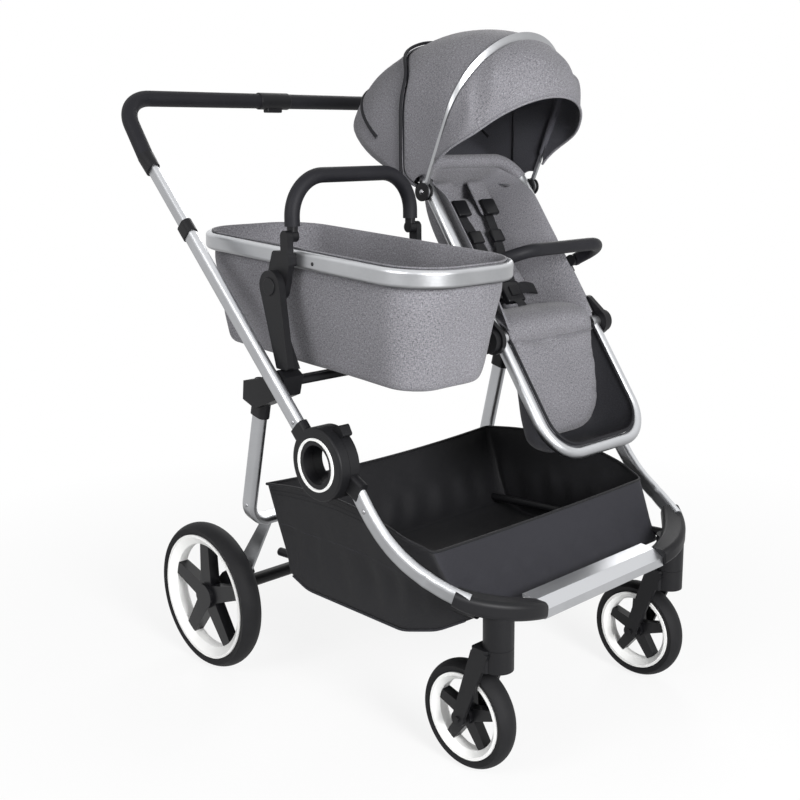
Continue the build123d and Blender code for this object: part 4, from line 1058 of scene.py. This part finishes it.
# %% Visor
visor_top, visor_columns, under_bow = 0.253, 57, 0.0078
tuck_in = hood_profile(front_half - under_bow, front_r - under_bow, 0.070, visor_columns)
visor_rows = [[hood_point(x, r, angle) for x, r in tuck_in] for angle in (68.6, 66.8, 65.0)]
for t in steps(0, 1, 15):
    top = mix(front_r - 0.001, visor_top, t) + 0.012 * sin(pi * t)
    row = []
    for k, (across, reach) in enumerate(hood_profile(front_half, top, mix(0.070, 0.052, t), visor_columns)):
        hem_angle = 41 + 22 * (1 - ease(reach / 0.17))
        aside = abs(2 * k / (visor_columns - 1) - 1)
        beside = ease((aside - 0.15) / 0.3) * ease((1 - aside) / 0.2)
        waves = 0.0085 * beside * sin(1.1 * k + 6 * t)
        waves += 0.006 * crease((across, reach, t * 0.06), 0.05, 9.1)
        row.append(hood_point(across, reach + sin(pi * t) * waves, mix(64.6, hem_angle, t)))
    visor_rows.append(row)
inside_out = [row[::-1] for row in visor_rows]
visor = cloth("canopy_visor_cloth", inside_out, [heather_grey, lining_grey], wall=hood_wall)
finish_piece(visor, "canopy", "grey_fabric", "canopy_visor")
print("canopy cloths", rear_cloth.name, front_cloth.name, visor.name)

# %% [markdown]
# ## Pipings
# Dark cord is sewn into the canopy's two cross seams, and the visor's hem is a roll of its own
# cloth. Each is a thin round tube along the line that its seam takes over the cloth.

# %% Pipings
seam_columns, rear_seam = 61, 140  # points along a seam; the rear seam's angle
seam_line = hood_profile(rear_half, rear_r, 0.058, seam_columns)
mid_path = [hood_point(x * 1.016, r + 0.003, seam_angle(r)) for x, r in seam_line]
mid_piping = piping("canopy_mid_piping", mid_path, 0.0034, thread_black)
finish_piece(mid_piping, "seat", "black_fabric")
seam_line = hood_profile(rear_half, rear_reach(rear_seam), 0.155, seam_columns)
rear_path = [hood_point(x, r, rear_seam) for x, r in seam_line]
rear_piping = piping("canopy_rear_piping", rear_path, 0.0040, thread_black)
finish_piece(rear_piping, "seat", "black_fabric")
hem_path = [p + (p - hood).normalized() * 0.0005 for p in visor_rows[-1]]
visor_hem = piping("visor_hem", hem_path, 0.0028, heather_grey)
finish_piece(visor_hem, "canopy", "grey_fabric")
print("pipings made")

# %% [markdown]
# ## Basket
# The basket is a nylon bag hung between the rear frame and the front corners. Top edge, walls and
# floor are one lofted shell: rings run round the bag from its hem down the walls and then in over
# the floor, where they close in one point. The cloth sags between its hangers and hangs in soft
# upright folds at the sides. A cloth solver could hang it too, but folds written as a function of
# place come out the same each run.

# %% Basket outline
rear_top, front_top = (-0.103, 0.401), (0.311, 0.371)
hem_line = through([rear_top, (0.0, 0.413), (0.104, 0.4145), (0.207, 0.400), front_top], 401)
keel = [(-0.045, 0.247), (0.009, 0.2275), (0.254, 0.2275), (0.317, 0.2415), (0.373, 0.2725)]
plan = [(0.258, 0.2985), (0.324, 0.2785), (0.374, 0.255)]  # X and half width ahead of the hubs
basket_depths = (0.0, 0.03, 0.08, 0.18, 0.30, 0.40, 0.48, 0.56, 0.66, 0.78, 0.88, 0.95, 1.0)
wall_points = 34  # points along each of the four walls
inwards = {"right": (0, 1), "front": (-1, 0), "left": (0, -1), "rear": (1, 0)}


def along_line(line, x):
    """Second number of a line of pairs at a place along X, level beyond its ends."""
    if x <= line[0][0]:
        return line[0][1]
    for (x0, z0), (x1, z1) in zip(line, line[1:]):
        if x <= x1:
            return mix(z0, z1, (x - x0) / (x1 - x0))
    return line[-1][1]


def keel_height(x):
    """Height of the basket's lower line."""
    return along_line(keel, x)


def half_width(x):
    """Half width of the bag in plan; it narrows ahead of the hubs."""
    return along_line(plan, x)


# %% Rings of the bag
def basket_ring(t):
    """Points round the bag at depth t: 0 is the hem, 1 the edge of the floor."""
    ring = []
    x0, x1 = mix(rear_top[0], keel[0][0], t), mix(front_top[0], keel[-1][0], t)
    hang = sin(pi * t)
    below = ease((t - 0.40) / 0.15) * (1 - ease((t - 0.80) / 0.20))
    for wall, inward in inwards.items():
        for k in range(wall_points):
            s = k / wall_points
            if wall in ("right", "left"):
                x = mix(x0, x1, s if wall == "right" else 1 - s)
                y = -half_width(x) if wall == "right" else half_width(x)
            else:
                x = x1 if wall == "front" else x0
                y = mix(-half_width(x), half_width(x), s if wall == "front" else 1 - s)
            along = (x - x0) / (x1 - x0)
            hem = hem_line[round(along * (len(hem_line) - 1))].y
            if wall in ("rear", "front"):
                hem -= 0.010 * (1 - (y / half_width(x)) ** 2) * (1.0 if wall == "rear" else 0.3)
            z = mix(hem, keel_height(x), t)
            fold = 0.0040 * hang * crease((1.6 * x, 1.6 * y, 0.25 * z), 0.07, 6.6)
            fold += 0.002 * hang * crease((x, y, z), 0.03, 2.9)
            ripple = sin(95 * (x + y) + 9 * z + 3 * crease((x, y, z), 0.2, 1.1))
            drape = 0.0045 * below * (0.5 + 0.5 * ripple)
            pull = 0.006 * hang * sin(pi * s) + abs(fold) + drape
            ring.append(Vector((x + inward[0] * pull, y + inward[1] * pull, z)))
    return ring


# %% Basket bag
basket_rows = [basket_ring(t) for t in basket_depths]
floor_edge = basket_rows[-1]
mid_x = sum(p.x for p in floor_edge) / len(floor_edge)
for shrink in (0.97, 0.88, 0.72, 0.5, 0.25, 0.08, 0.0):  # in over the floor to one point
    row = []
    for p in floor_edge:
        x, y = mix(mid_x, p.x, shrink), p.y * shrink
        sag = 0.0006 * crease((x, y, 0.0), 0.05, 1.9)
        row.append(Vector((x, y, keel_height(x) + 0.0005 + sag * (1 - shrink))))
    basket_rows.append(row)


def basket_slot(i, j):
    """The front wall is slate, the rest black."""
    return 1 if j // wall_points == 1 and i < len(basket_depths) - 1 else 0


basket = cloth("basket_bag", basket_rows, [nylon_black, nylon_slate], wall=0.0016, close=True,
               face_slot=basket_slot)
finish_piece(basket, "chassis", "black_fabric", "basket")

# %% Hem and bands of the basket
hem_ring = [p + Vector((0, 0, 0.0008)) for p in basket_rows[0]]
basket_hem = piping("basket_hem", hem_ring + [hem_ring[0]], 0.0028, nylon_black)
finish_piece(basket_hem, "chassis", "black_fabric")


def side_wall(depth, first, grow_x, grow_y):
    """A side wall's line at a depth, without its corners, moved out a little."""
    line = basket_ring(depth)[first + 1:first + wall_points]
    return [Vector((p.x * grow_x, p.y * grow_y, p.z)) for p in line]


right_wall, left_wall = 0, 2 * wall_points
bands = []
for depth, thick in ((0.44, 0.0010), (1.0, 0.0020)):
    for first in (right_wall, left_wall):
        bands.append(piping("band", side_wall(depth, first, 1.0, 1.003), thick, nylon_slate))
basket_bands = joined("basket_seams", bands)
finish_piece(basket_bands, "chassis", "black_fabric")
print("basket points", len(basket.data.vertices))

# %% [markdown]
# ## Rivets and stitches
# Small things that repeat are a job for Geometry Nodes. One tree sets a domed head on every
# point it is given, turned to face out of the surface; another walks along a seam and lays one
# thread after the next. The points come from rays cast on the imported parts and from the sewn
# pieces' own surfaces, so a rivet always sits on the tube that carries it.

# %% Parts of a tree
def new_tree(name, inputs):
    """Geometry tree with a Geometry input and named inputs; gives tree, its input node, identifiers."""
    tree = bpy.data.node_groups.new(name, "GeometryNodeTree")
    tree.interface.new_socket("Geometry", in_out="INPUT", socket_type="NodeSocketGeometry")
    names = {}
    for label, kind, value in inputs:
        socket = tree.interface.new_socket(label, in_out="INPUT", socket_type=kind)
        if value is not None:
            socket.default_value = value
        names[label] = socket.identifier
    tree.interface.new_socket("Geometry", in_out="OUTPUT", socket_type="NodeSocketGeometry")
    return tree, tree.nodes.new("NodeGroupInput"), names


def end_tree(tree, source, instances):
    """Close a tree: real mesh, smooth shading, its finish."""
    real = node(tree, "GeometryNodeRealizeInstances", {}, {"Geometry": instances})
    real = node(tree, "GeometryNodeSetShadeSmooth", {}, {0: real})
    finish = Wire(source.outputs["Finish"])
    real = node(tree, "GeometryNodeSetMaterial", {}, {"Geometry": real, "Material": finish})
    last = tree.nodes.new("NodeGroupOutput")
    tree.links.new(real.socket, last.inputs[0])


def stretched_bead(tree, source, wide, tall, segments, rings):
    """Ball of one unit, scaled by two named inputs."""
    ball = node(tree, "GeometryNodeMeshUVSphere", {}, {"Segments": segments, "Rings": rings, "Radius": 1.0})
    wide, tall = Wire(source.outputs[wide]), Wire(source.outputs[tall])
    size = node(tree, "ShaderNodeCombineXYZ", {}, {0: wide, 1: wide, 2: tall})
    return node(tree, "GeometryNodeTransform", {}, {"Geometry": ball, "Scale": size})


# %% Rivet tree
number, finish_kind = "NodeSocketFloat", "NodeSocketMaterial"
rivet_tree, rivet_in, rivet_names = new_tree("rivet_heads", [
    ("Head Radius", number, 0.004), ("Head Height", number, 0.0016), ("Finish", finish_kind, None)])
vector_kind = {"data_type": "FLOAT_VECTOR"}
facing = node(rivet_tree, "GeometryNodeInputNamedAttribute", vector_kind, {"Name": "facing"})
turned = node(rivet_tree, "FunctionNodeAlignRotationToVector", {"axis": "Z"}, {"Vector": facing})
head = stretched_bead(rivet_tree, rivet_in, "Head Radius", "Head Height", 16, 8)
end_tree(rivet_tree, rivet_in, node(rivet_tree, "GeometryNodeInstanceOnPoints", {}, {
    "Points": Wire(rivet_in.outputs["Geometry"]), "Instance": head, "Rotation": turned}))

# %% Stitch tree
stitch_tree, stitch_in, stitch_names = new_tree("seam_stitches", [
    ("Pitch", number, 0.0036), ("Thread Radius", number, 0.00035), ("Half Length", number, 0.0013),
    ("Finish", finish_kind, None)])
seam = node(stitch_tree, "GeometryNodeMeshToCurve", {}, {"Mesh": Wire(stitch_in.outputs["Geometry"])})
dots = stitch_tree.nodes.new("GeometryNodeCurveToPoints")
dots.mode = "LENGTH"
stitch_tree.links.new(seam.socket, dots.inputs["Curve"])
stitch_tree.links.new(stitch_in.outputs["Pitch"], dots.inputs["Length"])
tangent = Wire(dots.outputs["Tangent"])
lay = node(stitch_tree, "FunctionNodeAlignRotationToVector", {"axis": "Z"}, {"Vector": tangent})
thread = stretched_bead(stitch_tree, stitch_in, "Thread Radius", "Half Length", 5, 4)
end_tree(stitch_tree, stitch_in, node(stitch_tree, "GeometryNodeInstanceOnPoints", {}, {
    "Points": Wire(dots.outputs["Points"]), "Instance": thread, "Rotation": lay}))
print("trees", rivet_tree.name, stitch_tree.name)


# %% Running a tree
def run_tree(name, mesh, tree, names, values):
    """Object from a mesh of points or edges with a tree applied as plain mesh."""
    obj = new_object(name, mesh)
    nodes = obj.modifiers.new("nodes", "NODES")
    nodes.node_group = tree
    for label, value in values.items():
        nodes[names[label]] = value
    return plain_mesh(obj)


def on_surface(part, start, direction):
    """Where a ray from `start` meets a CAD node, and the surface's outward normal there."""
    hit, where, normal, _ = frame["nodes"][part].ray_cast(Vector(start), Vector(direction).normalized())
    if not hit:
        print("no surface for a rivet on", part)
        return None
    return where, normal


# %% Rivets and stitches on a piece
def rivets(name, body, spots, radius, height, finish):
    """Rivet heads on (node, ray start, ray direction) spots."""
    found = [s for s in (on_surface(*spot) for spot in spots) if s]
    mesh = bpy.data.meshes.new(name)
    mesh.from_pydata([tuple(where) for where, _ in found], [], [])
    layer = mesh.attributes.new("facing", "FLOAT_VECTOR", "POINT")
    for i, (_, normal) in enumerate(found):
        layer.data[i].vector = normal
    values = {"Head Radius": radius, "Head Height": height, "Finish": finish}
    made = run_tree(name, mesh, rivet_tree, rivet_names, values)
    finish_piece(made, body, "satin_aluminium")
    print(name, len(found))


def stitches(name, body, slot, paths, finish, pitch=0.0036):
    """Rows of stitches along paths of points."""
    points, edges = [], []
    for path in paths:
        first = len(points)
        points += [tuple(p) for p in path]
        edges += [(first + i, first + i + 1) for i in range(len(path) - 1)]
    mesh = bpy.data.meshes.new(name)
    mesh.from_pydata(points, edges, [])
    made = run_tree(name, mesh, stitch_tree, stitch_names, {
        "Pitch": pitch, "Thread Radius": 0.00045, "Half Length": pitch * 0.38, "Finish": finish})
    finish_piece(made, body, slot)
    print(name, len(made.data.polygons))


# %% [markdown]
# ## Rivets on the frame
# Bright domed rivets hold the handle's tubes, the front legs, the rear frame and the canopy's
# mounts, and dark ones the carrycot's rim. Rays from both sides find the surface they sit on.

# %% Rivets on the frame
hub = Vector(joints["handle_fold"]["pos_m"])
handle_dir = Vector(joints["handle_telescope"]["axis"])


def both_sides(part, middle, far):
    """Rays at a part from `far` to its right and left, level with a place on its middle."""
    return [(part, middle + Vector((0, side * far, 0)), Vector((0, -side, 0))) for side in (-1, 1)]


near_hub = hub + handle_dir * 0.086
handle_spots = both_sides("handle_lower_tubes", Vector((near_hub.x, 0, near_hub.z)), 0.6)
leg_spot, foot_spot = Vector((0.214, 0, 0.432)), Vector((-0.129, 0, 0.362))
frame_spots = both_sides("front_legs", leg_spot, 0.6) + both_sides("rear_frame", foot_spot, 0.6)
rim_spots = [s for x in (-0.022, 0.062) for s in both_sides("carrycot_rim", cot_point(x, 0, -0.002), 0.3)]
rivets("handle_rivets", "handle", handle_spots, 0.0042, 0.0018, bright_steel)
rivets("frame_rivets", "chassis", frame_spots, 0.0042, 0.0018, bright_steel)
rivets("canopy_rivets", "seat", both_sides("canopy_mounts", hood, 0.3), 0.0050, 0.0020, bright_steel)
rivets("rim_rivets", "carrycot", rim_spots, 0.0034, 0.0014, black_gloss)

# %% [markdown]
# ## Stitching
# Twin rows of thread run behind the canopy's seam, below the knee, down the tub's front and along
# the basket's hem, and one row along the visor's edge. A row is drawn near its cloth, laid on the
# finished surface point by point, and handed to the stitch tree.

# %% Stitching
thread_lift = 0.0002  # a thread's middle above the cloth


def lifted(surface, path):
    """A path laid on a piece's finished surface."""
    graph = bpy.context.evaluated_depsgraph_get()
    graph.update()
    ready = surface.evaluated_get(graph)
    out = []
    for p in path:
        _, where, normal, _ = ready.closest_point_on_mesh(p)
        out.append(where + normal * thread_lift)
    return out


seam_line = hood_profile(rear_half, rear_r, 0.10, seam_columns)
seams = [[hood_point(x, r + 0.003, seam_angle(r) + behind) for x, r in seam_line] for behind in (2.4, 4.2)]
seams = [lifted(rear_cloth, line) for line in seams]
stitches("canopy_rear_stitches", "seat", "grey_fabric", seams, thread_grey)
inner = [mix(a, b, 0.55) for a, b in zip(visor_rows[-1], visor_rows[-2])]
inner = [p + (p - hood).normalized() * 0.004 for p in inner]
stitches("visor_stitches", "canopy", "grey_fabric", [lifted(visor, inner)], thread_grey)
knee_rows = [[calf_point(0.104 * (k / 20 - 1), up, 0.02) for k in range(41)] for up in (-0.013, -0.017)]
stitches("calf_stitches", "legrest", "grey_fabric", [lifted(calf, row) for row in knee_rows], thread_grey)
tub_front = cot_half_x - 0.018
tub_lines = [[cot_point(tub_front, y, z) for z in steps(-0.036, -0.172, 31)] for y in (-0.028, 0.012)]
stitches("tub_stitches", "carrycot", "grey_fabric", [lifted(tub, line) for line in tub_lines], thread_grey)
hems = [side_wall(depth, first, 1.004, 1.012) for first in (right_wall, left_wall) for depth in (0.055, 0.10)]
stitches("basket_hem_stitches", "chassis", "black_fabric", [lifted(basket, line) for line in hems],
         thread_black, 0.0042)

# %% [markdown]
# ## Floor, light and camera
# The setting is a white sweep: the floor is white for the camera and keeps the soft shadow under
# the wheels. One large key lamp stands ahead of the stroller, a fill beside it and a weaker lamp
# behind give the tubes their edges. The camera stands where the photograph was taken.

# %% Floor
floor_half, floor_z = 9, -0.0006  # just below the wheels
square = [(-1, -1), (1, -1), (1, 1), (-1, 1)]
floor_mesh = bpy.data.meshes.new("floor")
floor_mesh.from_pydata([(floor_half * x, floor_half * y, floor_z) for x, y in square], [], [(0, 1, 2, 3)])
floor = new_object("floor", floor_mesh)
paper = bpy.data.materials.new("white_sweep")
paper.use_nodes = True
sweep = paper.node_tree
sweep.nodes.clear()


def seen(tree):
    """1 for rays from the camera, in reflections and through glass."""
    kinds = ("Is Camera Ray", "Is Glossy Ray", "Is Transmission Ray")
    path = [node(tree, "ShaderNodeLightPath", out=name) for name in kinds]
    return (path[0] + path[1] + path[2]).limit(0, 1)


place = node(sweep, "ShaderNodeTexCoord", out="Object")
away = node(sweep, "ShaderNodeVectorMath", {"operation": "LENGTH"}, {0: place}, out="Value")
fade = ((away - 0.55) * 0.9).limit(0, 1)
matte = node(sweep, "ShaderNodeBsdfDiffuse", {}, {"Color": rgb(0.86, 0.86, 0.86)})
bright = node(sweep, "ShaderNodeEmission", {}, {"Color": rgb(1, 1, 1), "Strength": 1.0})
both = node(sweep, "ShaderNodeMixShader", {}, {0: seen(sweep) * (0.84 + fade * 0.16), 1: matte, 2: bright})
ground = sweep.nodes.new("ShaderNodeOutputMaterial")
sweep.links.new(both.socket, ground.inputs["Surface"])
floor_mesh.materials.append(paper)
floor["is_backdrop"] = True
print("floor", floor.name)

# %% World and lamps
world = bpy.data.worlds.new("white_studio")
bpy.context.scene.world = world
world.use_nodes = True
sky = world.node_tree
sky.nodes.clear()
room_light = 0.24
soft = node(sky, "ShaderNodeBackground", {}, {"Color": rgb(1, 1, 1), "Strength": room_light})
white = node(sky, "ShaderNodeBackground", {}, {"Color": rgb(1, 1, 1), "Strength": 1.0})
mixed = node(sky, "ShaderNodeMixShader", {}, {0: seen(sky), 1: soft, 2: white})
out = sky.nodes.new("ShaderNodeOutputWorld")
sky.links.new(mixed.socket, out.inputs["Surface"])

centre = Vector((0, 0, 0.6))


def lamp(name, place, size, power):
    """Round area lamp, aimed at the stroller's middle."""
    data = bpy.data.lights.new(name, "AREA")
    data.shape, data.size, data.energy = "DISK", size, power
    obj = new_object(name, data)
    obj.location = place
    obj.rotation_euler = (centre - Vector(place)).to_track_quat("-Z", "Y").to_euler()


lamp("key", (3.0, -0.8, 1.45), 1.2, 124)
lamp("fill", (0.3, -2.8, 1.8), 1.6, 38)
lamp("back", (-1.7, 2.3, 2.1), 1.6, 30)

# %% Camera
camera = new_object("camera", bpy.data.cameras.new("camera"))
yaw, pitch, roll = radians(136.65), radians(12.72), radians(0.74)
forward = Vector((cos(pitch) * cos(yaw), cos(pitch) * sin(yaw), -sin(pitch)))
camera.location = (1.4971, -1.4707, 1.0001)  # fitted to the wheels and the frame's symmetry
camera.rotation_euler = (forward.to_track_quat("-Z", "Y") @ Quaternion((0, 0, 1), -roll)).to_euler()
camera.data.lens, camera.data.sensor_width = 50.44, 36.0
camera.data.clip_start = 0.05
bpy.context.scene.camera = camera
bpy.context.scene.view_settings.view_transform = "Standard"
print("camera", tuple(camera.location))

# %% Sizes and the end
low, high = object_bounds()
